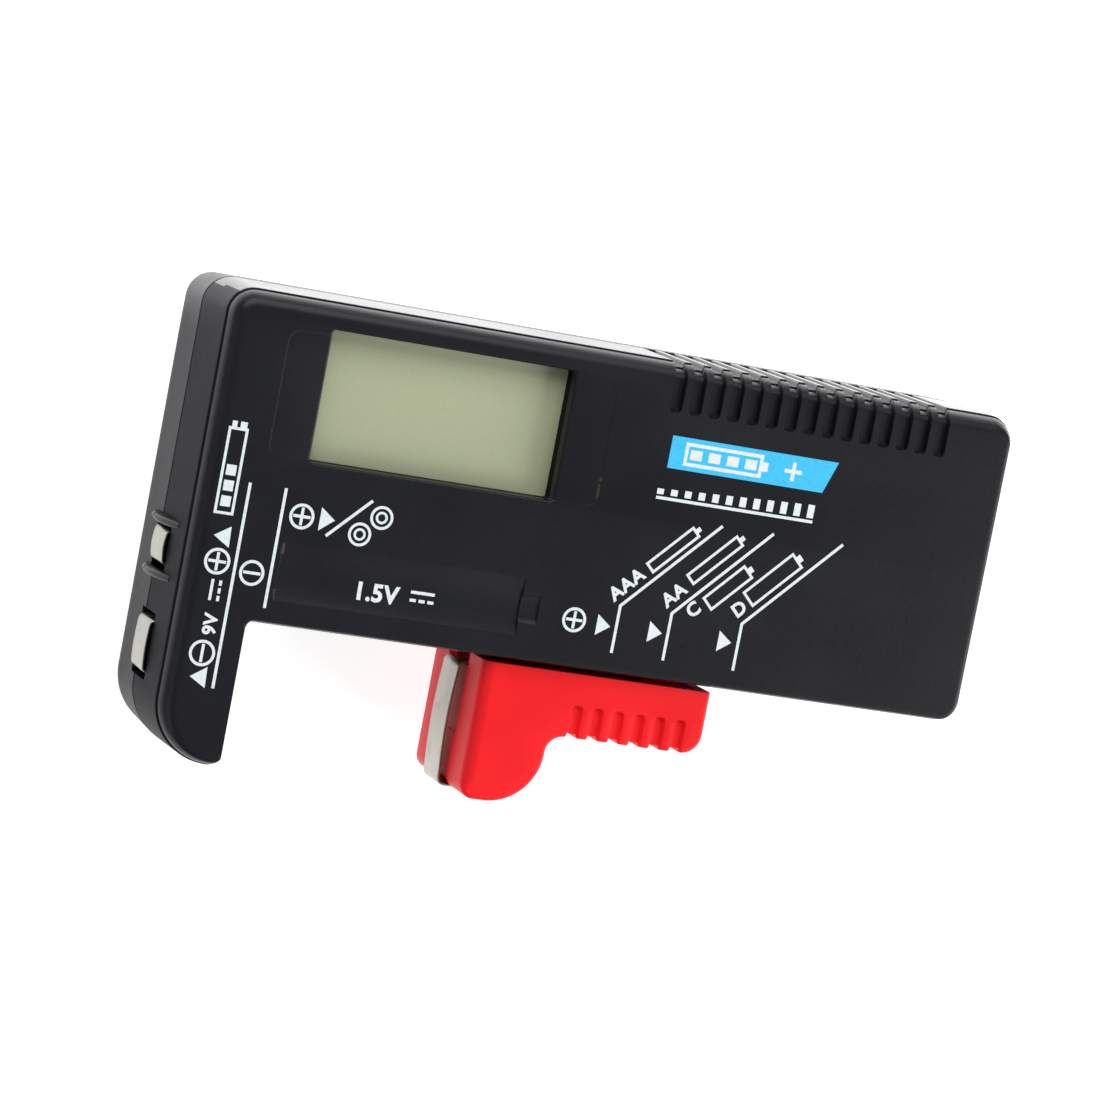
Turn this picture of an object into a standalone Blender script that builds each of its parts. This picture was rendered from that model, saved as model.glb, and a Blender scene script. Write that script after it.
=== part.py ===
"""Pocket battery tester with a liquid crystal display and a sliding cell contact.

The tester lies on its back: +X runs along its length, +Y towards the display's long edge and
+Z out of the printed face. Every size below is in metres. Places on the casing are measured
from its left end and from the foot of its fixed arm, and place() turns them into the row frame.
"""

import math

import bmesh
import bpy
from mathutils import Vector

MM = 0.001
GAP = 0.3 * MM

# Casing: an upright block with one arm hanging from its left end.
LENGTH = 106.0 * MM
HEIGHT = 58.8 * MM
DEPTH = 24.0 * MM
ARM_WIDTH = 9.6 * MM
GAP_FLOOR = 18.2 * MM
PARTING = 10.9 * MM
DRAFT = 0.3 * MM
WALL = 2.0 * MM
FACE_WALL = 2.2 * MM
EDGE_ROUND = 1.6 * MM
BACK_ROUND = 1.2 * MM
CORNER_STEPS = 6
ROUND_STEPS = 24
DOME_STEPS = 6
LEAST_RADIUS = 0.3 * MM

# Locating fins for the nine volt terminal, on the outer side of the arm.
FIN_OUT = 1.4 * MM
FIN_CHORD = 13.0 * MM
FIN_THICK = 1.0 * MM
FIN_HEIGHTS = (21.6 * MM, 28.2 * MM)

# All contact strips lie on one level, half way through the casing.
CONTACT_LEVEL = 12.3 * MM
CONTACT_WIDTH = 6.0 * MM
STRIP_THICK = 0.3 * MM

# Display window and glass.
WINDOW_LOW = (13.3 * MM, 38.9 * MM)
WINDOW_HIGH = (45.0 * MM, 55.2 * MM)
GLASS_LOW = (11.9 * MM, 35.6 * MM)
GLASS_HIGH = (46.4 * MM, 56.0 * MM)
GLASS_TOP = 20.9 * MM
GLASS_THICK = 1.1 * MM
FILM_THICK = 0.2 * MM
LEDGE = 2.6 * MM

# Slider: a hollow moulding with a lobe that carries the contact and a ribbed thumb grip.
SLIDER_LEFT = 40.8 * MM
SLIDER_RIGHT = 71.4 * MM
SLIDER_FOOT = 0.3 * MM
SLIDER_TOP = 17.8 * MM
SLIDER_BACK = 2.5 * MM
SLIDER_FRONT = 22.5 * MM
LOBE_RIGHT = 50.9 * MM
GRIP_FOOT = 9.6 * MM
SLIDER_WALL = 1.8 * MM
SCALLOPS = 6
SCALLOP_PITCH = 2.81 * MM
SCALLOP_WIDTH = 1.4 * MM
SCALLOP_DEPTH = 0.4 * MM
SCALLOP_TOP = 13.7 * MM
FIRST_SCALLOP = 53.95 * MM
SLIDER_ROUND = 1.0 * MM

# The slider's stem passes through this slot, which the parting plane splits.
SLOT_LEFT = 15.6 * MM
SLOT_RIGHT = 101.6 * MM
SLOT_HALF = 3.2 * MM
SLOT_LEVEL = 11.4 * MM
STEM_LEFT = 45.2 * MM
STEM_RIGHT = 65.6 * MM
STEM_HALF = 2.7 * MM
FLANGE_HALF = 5.0 * MM
FLANGE_LOW = 20.7 * MM
FLANGE_HIGH = 22.2 * MM
RAIL_HEIGHT = 24.9 * MM
RAIL_LOW = 6.0 * MM
RAIL_HIGH = 12.0 * MM

# Circuit board behind the display.
BOARD_LOW = (10.6 * MM, 27.6 * MM)
BOARD_HIGH = (62.0 * MM, 55.6 * MM)
BOARD_BACK = 12.2 * MM
BOARD_THICK = 1.6 * MM

# Grip grooves along the top edge.
GROOVES = 15
GROOVE_PITCH = 2.607 * MM
GROOVE_WIDTH = 1.5 * MM
FIRST_GROOVE = 58.65 * MM
GROOVE_FOOT = 52.35 * MM
GROOVE_DEPTH = 0.75 * MM

# Shallow cell-shaped recess in the face.
MARK_LOW = (12.0 * MM, 21.6 * MM)
MARK_HIGH = (43.4 * MM, 28.9 * MM)
CAP_LOW = (43.0 * MM, 23.4 * MM)
CAP_HIGH = (45.8 * MM, 27.0 * MM)
MARK_DEPTH = 0.6 * MM

# Screws: radii of the bosses, and of the wells and holes in them.
REAR_BOSS = 3.6 * MM
FRONT_BOSS = 3.0 * MM
BOARD_BOSS = 2.2 * MM
WELL_RADIUS = 2.6 * MM
WELL_DEPTH = 6.0 * MM
CLEARANCE = 1.6 * MM
CASE_PILOT = 1.3 * MM
BOARD_PILOT = 0.9 * MM

CASE_SCREWS = ((7.2 * MM, 46.0 * MM), (97.5 * MM, 49.5 * MM), (97.5 * MM, 29.5 * MM))
BOARD_SCREWS = ((55.5 * MM, 51.5 * MM), (55.5 * MM, 31.0 * MM))

LEFT = -(LENGTH + FIN_OUT) / 2 + FIN_OUT
FOOT = -HEIGHT / 2


def place(x, y):
    """Return row-frame x and y of a point given from the casing's left end and the arm's foot."""
    return x + LEFT, y + FOOT


def clear_scene():
    """Remove everything, so that the script gives the same model each time it is run."""
    for thing in list(bpy.data.objects):
        bpy.data.objects.remove(thing)
    for group in list(bpy.data.collections):
        bpy.data.collections.remove(group)


def new_collection(name):
    """Make a collection and hang it under the scene's own."""
    group = bpy.data.collections.new(name)
    bpy.context.scene.collection.children.link(group)
    return group


clear_scene()
PARTS = new_collection("battery_tester")
TOOLS = new_collection("cutters")


def material(name, colour, roughness, metallic=0.0):
    """Make a Principled material with one colour."""
    made = bpy.data.materials.new(name)
    made.use_nodes = True
    shader = made.node_tree.nodes["Principled BSDF"]
    shader.inputs["Base Color"].default_value = (*colour, 1.0)
    shader.inputs["Roughness"].default_value = roughness
    shader.inputs["Metallic"].default_value = metallic
    return made


def add_object(name, mesh, group):
    """Wrap a mesh in an object and put it in a collection."""
    thing = bpy.data.objects.new(name, mesh)
    group.objects.link(thing)
    return thing


def finish_mesh(bm, name, group):
    """Turn a bmesh into an object whose faces point outwards."""
    bmesh.ops.recalc_face_normals(bm, faces=bm.faces)
    mesh = bpy.data.meshes.new(name)
    bm.to_mesh(mesh)
    bm.free()
    return add_object(name, mesh, group)


def give(thing, colour, roughness, metallic=0.0, smooth_angle=35.0):
    """Give a part its own material and shade its round surfaces smooth."""
    thing.data.materials.append(material(thing.name, colour, roughness, metallic))
    thing.data.shade_smooth()
    thing.data.set_sharp_from_angle(angle=math.radians(smooth_angle))
    return thing


def hide_tool(thing):
    """Mark a cutter or a joined shape as a tool."""
    thing.hide_render = True
    thing.display_type = "WIRE"
    return thing


def boolean(thing, tool, operation):
    """Cut a part with a tool, or join the tool to it."""
    step = thing.modifiers.new(tool.name, "BOOLEAN")
    step.operation = operation
    step.solver = "EXACT"
    step.object = hide_tool(tool)
    return thing


def box(name, low, high, group=TOOLS):
    """Make a box between two corners, given in casing places."""
    bm = bmesh.new()
    bmesh.ops.create_cube(bm, size=1.0)
    size = [b - a for a, b in zip(low, high)]
    x, y = place((low[0] + high[0]) / 2, (low[1] + high[1]) / 2)
    bmesh.ops.scale(bm, vec=size, verts=bm.verts)
    bmesh.ops.translate(bm, vec=(x, y, (low[2] + high[2]) / 2), verts=bm.verts)
    return finish_mesh(bm, name, group)


def boxes(name, pairs):
    """Make one tool of several separate boxes."""
    bm = bmesh.new()
    for low, high in pairs:
        made = bmesh.ops.create_cube(bm, size=1.0)["verts"]
        x, y = place((low[0] + high[0]) / 2, (low[1] + high[1]) / 2)
        bmesh.ops.scale(bm, vec=[b - a for a, b in zip(low, high)], verts=made)
        bmesh.ops.translate(bm, vec=(x, y, (low[2] + high[2]) / 2), verts=made)
    return finish_mesh(bm, name, TOOLS)


def posts(name, spots, radius, z_low, z_high, top_radius=None, group=TOOLS, segments=20):
    """Make one object of equal upright posts, cones or pins, one at each spot."""
    bm = bmesh.new()
    end = radius if top_radius is None else top_radius
    for x, y in spots:
        row_x, row_y = place(x, y)
        made = bmesh.ops.create_cone(bm, cap_ends=True, segments=segments, radius1=radius,
                                     radius2=end, depth=z_high - z_low)["verts"]
        bmesh.ops.translate(bm, vec=(row_x, row_y, (z_low + z_high) / 2), verts=made)
    return finish_mesh(bm, name, group)


def outline(corners, inset=0.0):
    """Return a closed outline of axis-parallel sides with rounded corners, drawn in by inset.

    corners holds (x, y, radius, bend, out_x, out_y): bend is 1 on an outer corner and -1 on an
    inner one, and (out_x, out_y) points away from the material.
    """
    points = []
    for x, y, radius, bend, out_x, out_y in corners:
        x -= out_x * inset
        y -= out_y * inset
        arc = max(radius - bend * inset, LEAST_RADIUS)
        centre_x = x - bend * out_x * arc
        centre_y = y - bend * out_y * arc
        turn = math.atan2(bend * out_y, bend * out_x)
        for step in range(CORNER_STEPS + 1):
            angle = turn + bend * (step / CORNER_STEPS - 0.5) * math.pi / 2
            points.append(place(centre_x + arc * math.cos(angle), centre_y + arc * math.sin(angle)))
    return points


def stack(name, corners, levels, group=TOOLS):
    """Loft one outline through levels of (height, inset) and close both ends.

    The sides are split into triangles, because the corners of unlike sections aren't flat quads.
    """
    bm = bmesh.new()
    rings = []
    for height, inset in levels:
        rings.append([bm.verts.new((x, y, height)) for x, y in outline(corners, inset)])
    for lower, upper in zip(rings, rings[1:]):
        for i in range(len(lower)):
            j = (i + 1) % len(lower)
            bm.faces.new((lower[i], lower[j], upper[j], upper[i]))
    bmesh.ops.triangulate(bm, faces=bm.faces)
    bm.faces.new(rings[0])
    bm.faces.new(rings[-1])
    return finish_mesh(bm, name, group)


def ribbon(name, path, z_low, z_high, thick=STRIP_THICK, group=PARTS):
    """Bend a flat metal strip along a path in the XY plane, given in casing places."""
    bm = bmesh.new()
    rows = []
    for x, y in path:
        row_x, row_y = place(x, y)
        rows.append((bm.verts.new((row_x, row_y, z_low)), bm.verts.new((row_x, row_y, z_high))))
    for a, b in zip(rows, rows[1:]):
        bm.faces.new((a[0], b[0], b[1], a[1]))
    thing = finish_mesh(bm, name, group)
    wall = thing.modifiers.new("wall", "SOLIDIFY")
    wall.thickness = thick
    wall.offset = 0.0
    wall.use_even_offset = True
    return thing


def bow(x_end, x_top, y_low, y_high, steps=8):
    """Return points of a shallow arch from y_low to y_high that stands out to x_top."""
    points = []
    for step in range(steps + 1):
        share = step / steps
        reach = math.sin(math.pi * share)
        points.append((x_end + (x_top - x_end) * reach, y_low + (y_high - y_low) * share))
    return points


def wire(name, route, radius, colour):
    """Lay an insulated wire along a smooth route of points in casing places, as a welded mesh."""
    curve = bpy.data.curves.new(name + "_line", "CURVE")
    curve.dimensions = "3D"
    curve.bevel_depth = radius
    curve.bevel_resolution = 2
    curve.use_fill_caps = True
    spline = curve.splines.new("POLY")
    points = smooth_route([Vector((*place(x, y), z)) for x, y, z in route])
    spline.points.add(len(points) - 1)
    for point, spot in zip(spline.points, points):
        point.co = (*spot, 1.0)
    line = bpy.data.objects.new(name + "_line", curve)
    TOOLS.objects.link(line)
    mesh = bpy.data.meshes.new_from_object(line.evaluated_get(bpy.context.evaluated_depsgraph_get()))
    bm = bmesh.new()
    bm.from_mesh(mesh)
    bmesh.ops.remove_doubles(bm, verts=bm.verts, dist=0.01 * MM)
    bm.to_mesh(mesh)
    bm.free()
    thing = add_object(name, mesh, PARTS)
    thing.matrix_world = line.matrix_world
    bpy.data.objects.remove(line)
    thing.data.materials.clear()
    return give(thing, colour, 0.5)


def smooth_route(knots, steps=5):
    """Return points of a Catmull-Rom curve through the knots."""
    points = []
    padded = [knots[0] * 2 - knots[1], *knots, knots[-1] * 2 - knots[-2]]
    for a, b, c, d in zip(padded, padded[1:], padded[2:], padded[3:]):
        for step in range(steps):
            t = step / steps
            points.append((b * 2 + (c - a) * t + (a * 2 - b * 5 + c * 4 - d) * t ** 2
                           + (b * 3 - a - c * 3 + d) * t ** 3) / 2)
    points.append(knots[-1])
    return points


# Corner lists, counter-clockwise from the arm's foot: x, y, radius, bend, outward x and y.
CASE_CORNERS = (
    (0.0, 0.0, 7.2 * MM, 1, -1, -1),
    (ARM_WIDTH, 0.0, 1.2 * MM, 1, 1, -1),
    (ARM_WIDTH, GAP_FLOOR, 0.6 * MM, -1, 1, -1),
    (LENGTH, GAP_FLOOR, 3.2 * MM, 1, 1, -1),
    (LENGTH, HEIGHT, 3.6 * MM, 1, 1, 1),
    (0.0, HEIGHT, 3.6 * MM, 1, -1, 1),
)
CAVITY_CORNERS = ((0.0, 0.0, 6.4 * MM, 1, -1, -1), *CASE_CORNERS[1:])
SLIDER_CORNERS = (
    (SLIDER_LEFT, SLIDER_FOOT, 2.2 * MM, 1, -1, -1),
    (LOBE_RIGHT, SLIDER_FOOT, 6.9 * MM, 1, 1, -1),
    (LOBE_RIGHT, GRIP_FOOT, 2.2 * MM, -1, 1, -1),
    (SLIDER_RIGHT, GRIP_FOOT, 2.6 * MM, 1, 1, -1),
    (SLIDER_RIGHT, SLIDER_TOP, 0.3 * MM, 1, 1, 1),
    (SLIDER_LEFT, SLIDER_TOP, 0.3 * MM, 1, -1, 1),
)

CASE_COLOUR = (0.022, 0.022, 0.026)
NICKEL = (0.62, 0.60, 0.55)


def fin_tool(name, z_low, z_high):
    """Make the part of both locating fins between two heights: slices of a flat disc."""
    sag = FIN_OUT + DRAFT
    radius = (FIN_CHORD ** 2 / 4 + sag ** 2) / (2 * sag)
    bm = bmesh.new()
    centre_x, _ = place(-FIN_OUT + radius, 0.0)
    for height in FIN_HEIGHTS:
        _, y = place(0.0, height)
        ends = [math.asin((z - CONTACT_LEVEL) / radius) for z in (z_low, z_high)]
        rim = []
        for step in range(9):
            angle = ends[0] + (ends[1] - ends[0]) * step / 8
            rim.append((centre_x - radius * math.cos(angle), CONTACT_LEVEL + radius * math.sin(angle)))
        inner_x, _ = place(WALL / 2, 0.0)
        ring = [(inner_x, z_low), *rim, (inner_x, z_high)]
        face = bm.faces.new([bm.verts.new((x, y - FIN_THICK / 2, z)) for x, z in ring])
        grown = bmesh.ops.extrude_face_region(bm, geom=[face])["geom"]
        moved = [item for item in grown if isinstance(item, bmesh.types.BMVert)]
        bmesh.ops.translate(bm, vec=(0.0, FIN_THICK, 0.0), verts=moved)
    return finish_mesh(bm, name, TOOLS)


def contact_openings(name):
    """Cut the slots that the contact strips' ends pass through, in both halves at once."""
    low = CONTACT_LEVEL - CONTACT_WIDTH / 2 - GAP
    high = CONTACT_LEVEL + CONTACT_WIDTH / 2 + GAP
    outer = -1.0 * MM
    inner = WALL + DRAFT + 1.0 * MM
    heights = ((8.5, 10.4), (14.9, 16.8), (22.1, 23.6), (26.3, 27.7))
    pairs = [((outer, a * MM, low), (inner, b * MM, high)) for a, b in heights]
    arm_inner = ARM_WIDTH - WALL - 1.0 * MM
    arm_outer = ARM_WIDTH + 1.0 * MM
    for a, b in ((3.0, 4.9), (15.1, 16.9)):
        pairs.append(((arm_inner, a * MM, low), (arm_outer, b * MM, high)))
    return boxes(name, pairs)


def slot_opening(name):
    """Cut the slider's slot through the lower wall."""
    return box(name, (SLOT_LEFT, GAP_FLOOR - 2 * MM, SLOT_LEVEL - SLOT_HALF),
               (SLOT_RIGHT, GAP_FLOOR + WALL + 1.5 * MM, SLOT_LEVEL + SLOT_HALF))


def make_front_casing():
    """Model the front half: a drafted tray with a rounded face edge, window, grooves and posts."""
    low = PARTING + GAP / 2
    top_levels = [(low, 0.0), (DEPTH - EDGE_ROUND, DRAFT)]
    for step in (1, 2, 3):
        turn = step / 3 * math.pi / 2
        top_levels.append((DEPTH - EDGE_ROUND * (1 - math.sin(turn)),
                           DRAFT + EDGE_ROUND * (1 - math.cos(turn))))
    shell = stack("front_casing", CASE_CORNERS, top_levels, PARTS)
    cavity = stack("front_cavity", CAVITY_CORNERS,
                   [(low - 1 * MM, WALL), (DEPTH - FACE_WALL, WALL + DRAFT)])
    boolean(shell, cavity, "DIFFERENCE")
    boolean(shell, fin_tool("front_fins", low, CONTACT_LEVEL + FIN_CHORD / 2 - 0.4 * MM), "UNION")
    rim_low = (WINDOW_LOW[0] - 1.2 * MM, WINDOW_LOW[1] - 1.2 * MM, DEPTH - FACE_WALL - 0.6 * MM)
    rim_high = (WINDOW_HIGH[0] + 1.2 * MM, WINDOW_HIGH[1] + 0.8 * MM, DEPTH - FACE_WALL + 0.5 * MM)
    boolean(shell, box("window_rim", rim_low, rim_high), "UNION")
    boss_top = DEPTH - 1.2 * MM
    boolean(shell, posts("front_posts", CASE_SCREWS, FRONT_BOSS, low, boss_top), "UNION")
    board_top = BOARD_BACK + BOARD_THICK + GAP
    boolean(shell, posts("board_posts", BOARD_SCREWS, BOARD_BOSS, board_top, boss_top), "UNION")
    case_holes = posts("case_screw_holes", CASE_SCREWS, CASE_PILOT, low - 1 * MM, 19.5 * MM)
    boolean(shell, case_holes, "DIFFERENCE")
    board_holes = posts("board_screw_holes", BOARD_SCREWS, BOARD_PILOT, board_top - 1 * MM, 19.0 * MM)
    boolean(shell, board_holes, "DIFFERENCE")
    window = box("window", (*WINDOW_LOW, DEPTH - 5 * MM), (*WINDOW_HIGH, DEPTH + 1 * MM))
    boolean(shell, window, "DIFFERENCE")
    for grooves in groove_tools():
        boolean(shell, grooves, "DIFFERENCE")
    boolean(shell, cell_mark_tool(), "DIFFERENCE")
    boolean(shell, contact_openings("front_contact_slots"), "DIFFERENCE")
    boolean(shell, slot_opening("front_slider_slot"), "DIFFERENCE")
    return give(shell, CASE_COLOUR, 0.55)


def groove_tools():
    """Make the cutters of the grip grooves: bars laid over the face, and bars down the top wall."""
    face_bars = []
    wall_bars = []
    for i in range(GROOVES):
        left = FIRST_GROOVE + i * GROOVE_PITCH - GROOVE_WIDTH / 2
        right = left + GROOVE_WIDTH
        face_bars.append(((left, GROOVE_FOOT, DEPTH - GROOVE_DEPTH),
                          (right, HEIGHT + GROOVE_DEPTH, DEPTH + GROOVE_DEPTH)))
        wall_bars.append(((left, HEIGHT - DRAFT / 2 - GROOVE_DEPTH, PARTING),
                          (right, HEIGHT + GROOVE_DEPTH, DEPTH + GROOVE_DEPTH)))
    return boxes("face_grooves", face_bars), boxes("wall_grooves", wall_bars)


def cell_mark_tool():
    """Make the cutter of the shallow cell-shaped recess in the face."""
    floor = DEPTH - MARK_DEPTH
    cap = box("cell_cap", (*CAP_LOW, floor), (*CAP_HIGH, DEPTH + MARK_DEPTH))
    body = box("cell_mark", (*MARK_LOW, floor), (*MARK_HIGH, DEPTH + MARK_DEPTH))
    return boolean(body, cap, "UNION")


def make_rear_casing():
    """Model the rear half: a shallower tray with screw wells, rail holders and slot notch."""
    high = PARTING - GAP / 2
    levels = [(0.0, DRAFT + BACK_ROUND), (BACK_ROUND * 0.3, DRAFT + BACK_ROUND * 0.29),
              (BACK_ROUND, DRAFT), (high, 0.0)]
    shell = stack("rear_casing", CASE_CORNERS, levels, PARTS)
    cavity = stack("rear_cavity", CAVITY_CORNERS, [(WALL, WALL + DRAFT), (high + 1 * MM, WALL)])
    boolean(shell, cavity, "DIFFERENCE")
    boolean(shell, fin_tool("rear_fins", CONTACT_LEVEL - FIN_CHORD / 2 + 0.4 * MM, high), "UNION")
    boolean(shell, posts("rear_posts", CASE_SCREWS, REAR_BOSS, 1 * MM, high), "UNION")
    holders = []
    for x in (17.0 * MM, 55.0 * MM, 90.0 * MM):
        holders.append(((x, 23.9 * MM, 1 * MM), (x + 2.0 * MM, 26.6 * MM, 8.4 * MM)))
    boolean(shell, boxes("rail_holders", holders), "UNION")
    rail_groove = box("rail_groove", (14.0 * MM, RAIL_HEIGHT - 0.45 * MM, RAIL_LOW - 0.4 * MM),
                      (95.0 * MM, RAIL_HEIGHT + 0.45 * MM, PARTING))
    boolean(shell, rail_groove, "DIFFERENCE")
    wells = posts("screw_wells", CASE_SCREWS, WELL_RADIUS, -1 * MM, WELL_DEPTH)
    boolean(shell, wells, "DIFFERENCE")
    clearance = posts("screw_clearance", CASE_SCREWS, CLEARANCE, WELL_DEPTH - 1 * MM, PARTING + 1 * MM)
    boolean(shell, clearance, "DIFFERENCE")
    boolean(shell, contact_openings("rear_contact_slots"), "DIFFERENCE")
    boolean(shell, slot_opening("rear_slider_slot"), "DIFFERENCE")
    return give(shell, CASE_COLOUR, 0.6)


def make_slider():
    """Model the slider: a hollow lobe and grip, with a stem and flange that run in the casing."""
    soft = 0.3 * SLIDER_ROUND
    levels = [(SLIDER_BACK, SLIDER_ROUND / 2), (SLIDER_BACK + SLIDER_ROUND / 2, 0.0),
              (SLIDER_FRONT - SLIDER_ROUND, 0.0), (SLIDER_FRONT - soft, soft),
              (SLIDER_FRONT, SLIDER_ROUND)]
    body = stack("slider", SLIDER_CORNERS, levels, PARTS)
    hollow_corners = [list(corner) for corner in SLIDER_CORNERS]
    for corner in hollow_corners[4:]:
        corner[1] = SLIDER_TOP + 4 * MM
    hollow = stack("slider_hollow", hollow_corners, [(SLIDER_BACK + SLIDER_WALL, SLIDER_WALL),
                                                     (SLIDER_FRONT - SLIDER_WALL, SLIDER_WALL)])
    boolean(body, hollow, "DIFFERENCE")
    stem_low = (STEM_LEFT, GRIP_FOOT + 1.0 * MM, SLOT_LEVEL - STEM_HALF)
    stem = box("slider_stem", stem_low, (STEM_RIGHT, FLANGE_LOW + 0.5 * MM, SLOT_LEVEL + STEM_HALF))
    boolean(body, stem, "UNION")
    flange = box("slider_flange", (STEM_LEFT, FLANGE_LOW, SLOT_LEVEL - FLANGE_HALF),
                 (STEM_RIGHT, FLANGE_HIGH, SLOT_LEVEL + FLANGE_HALF))
    boolean(body, flange, "UNION")
    rib = box("slider_rib", (57.0 * MM, 10.5 * MM, SLIDER_BACK + 1 * MM),
              (58.4 * MM, SLIDER_TOP - 0.6 * MM, SLIDER_FRONT - 1 * MM))
    boolean(body, rib, "UNION")
    half = CONTACT_WIDTH / 2
    relief = box("contact_relief", (39.0 * MM, 7.2 * MM, CONTACT_LEVEL - half - 0.9 * MM),
                 (SLIDER_LEFT + 1.0 * MM, 20.0 * MM, CONTACT_LEVEL + half + 0.9 * MM))
    boolean(body, relief, "DIFFERENCE")
    channel = ribbon("contact_channel", slider_strip_path(), CONTACT_LEVEL - half - GAP,
                     CONTACT_LEVEL + half + GAP, STRIP_THICK + 2 * GAP, TOOLS)
    boolean(body, channel, "DIFFERENCE")
    entry = box("contact_entry", (39.0 * MM, 15.0 * MM, CONTACT_LEVEL - half - GAP),
                (SLIDER_LEFT + 4.0 * MM, 20.0 * MM, CONTACT_LEVEL + half + GAP))
    boolean(body, entry, "DIFFERENCE")
    boolean(body, scallops("front_scallops", SCALLOP_TOP, SLIDER_FRONT - SCALLOP_DEPTH), "DIFFERENCE")
    boolean(body, scallops("foot_scallops", GRIP_FOOT + SCALLOP_DEPTH, 0.0), "DIFFERENCE")
    return give(body, (0.78, 0.02, 0.025), 0.4)


def scallops(name, top, back):
    """Make one bar for each scallop of the thumb grip, below a top and in front of a back."""
    bars = []
    for i in range(SCALLOPS):
        left = FIRST_SCALLOP + i * SCALLOP_PITCH - SCALLOP_WIDTH / 2
        bars.append(((left, GRIP_FOOT - 1 * MM, back), (left + SCALLOP_WIDTH, top, DEPTH)))
    return boxes(name, bars)


def make_contacts():
    """Bend the fixed contact strips, the slider's strip with its wiper, and the long rail."""
    half = CONTACT_WIDTH / 2
    low = CONTACT_LEVEL - half
    high = CONTACT_LEVEL + half
    inside = WALL + 0.9 * MM
    tail = 1.6 * MM
    for name, foot, head in (("nine_volt_contact_lower", 9.3 * MM, 16.0 * MM),
                             ("nine_volt_contact_upper", 22.8 * MM, 27.2 * MM)):
        arch = bow(0.1 * MM, -0.55 * MM, foot, head)
        path = [(inside, foot - tail), (inside, foot), *arch, (inside, head), (inside, head + tail)]
        strip = ribbon(name, path, low, high)
        give(strip, NICKEL, 0.3, 1.0)
    arm_inside = ARM_WIDTH - WALL - 0.9 * MM
    arch = bow(ARM_WIDTH + 0.1 * MM, ARM_WIDTH + 1.5 * MM, 4.3 * MM, 15.8 * MM)
    path = [(arm_inside, 2.9 * MM), (arm_inside, 4.0 * MM), *arch, (arm_inside, 16.1 * MM),
            (arm_inside, 18.6 * MM)]
    give(ribbon("fixed_contact", path, low, high), NICKEL, 0.3, 1.0)
    make_slider_contact(low, high)
    ends = [(14.4 * MM, RAIL_HEIGHT), (94.6 * MM, RAIL_HEIGHT)]
    rail = ribbon("contact_rail", ends, RAIL_LOW, RAIL_HIGH)
    give(rail, NICKEL, 0.32, 1.0)


def slider_strip_path():
    """Return the path of the slider's strip: foot hook, proud face and the bend into the slider."""
    stand = SLIDER_LEFT - 0.8 * MM
    foot = SLIDER_FOOT + 0.15 * MM
    arch = bow(stand, SLIDER_LEFT - 1.1 * MM, 1.5 * MM, 15.4 * MM)
    return [(46.0 * MM, foot), (stand + 1.0 * MM, foot), (stand + 0.3 * MM, foot + 0.3 * MM), *arch,
            (stand + 0.5 * MM, 16.1 * MM), (SLIDER_LEFT + 3.05 * MM, 16.5 * MM)]


def make_slider_contact(low, high):
    """Bend the slider's strip: hook under the lobe, bowed face, entry, riser and wiper finger."""
    strip = ribbon("slider_contact", slider_strip_path(), low, high)
    entry_x, entry_y = slider_strip_path()[-1]
    riser = STEM_LEFT - 0.7 * MM
    narrow = 2.3 * MM
    finger = [(entry_x - 0.6 * MM, entry_y), (riser, entry_y), (riser, FLANGE_HIGH + 0.5 * MM),
              (riser + 1.2 * MM, FLANGE_HIGH + 0.8 * MM), (riser + 5.0 * MM, RAIL_HEIGHT - 0.7 * MM),
              (riser + 8.0 * MM, RAIL_HEIGHT - 0.5 * MM), (riser + 11.0 * MM, RAIL_HEIGHT - 1.2 * MM)]
    tongue = ribbon("wiper_finger", finger, SLOT_LEVEL - narrow, SLOT_LEVEL + narrow, group=TOOLS)
    boolean(strip, tongue, "UNION")
    give(strip, NICKEL, 0.3, 1.0)


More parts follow.
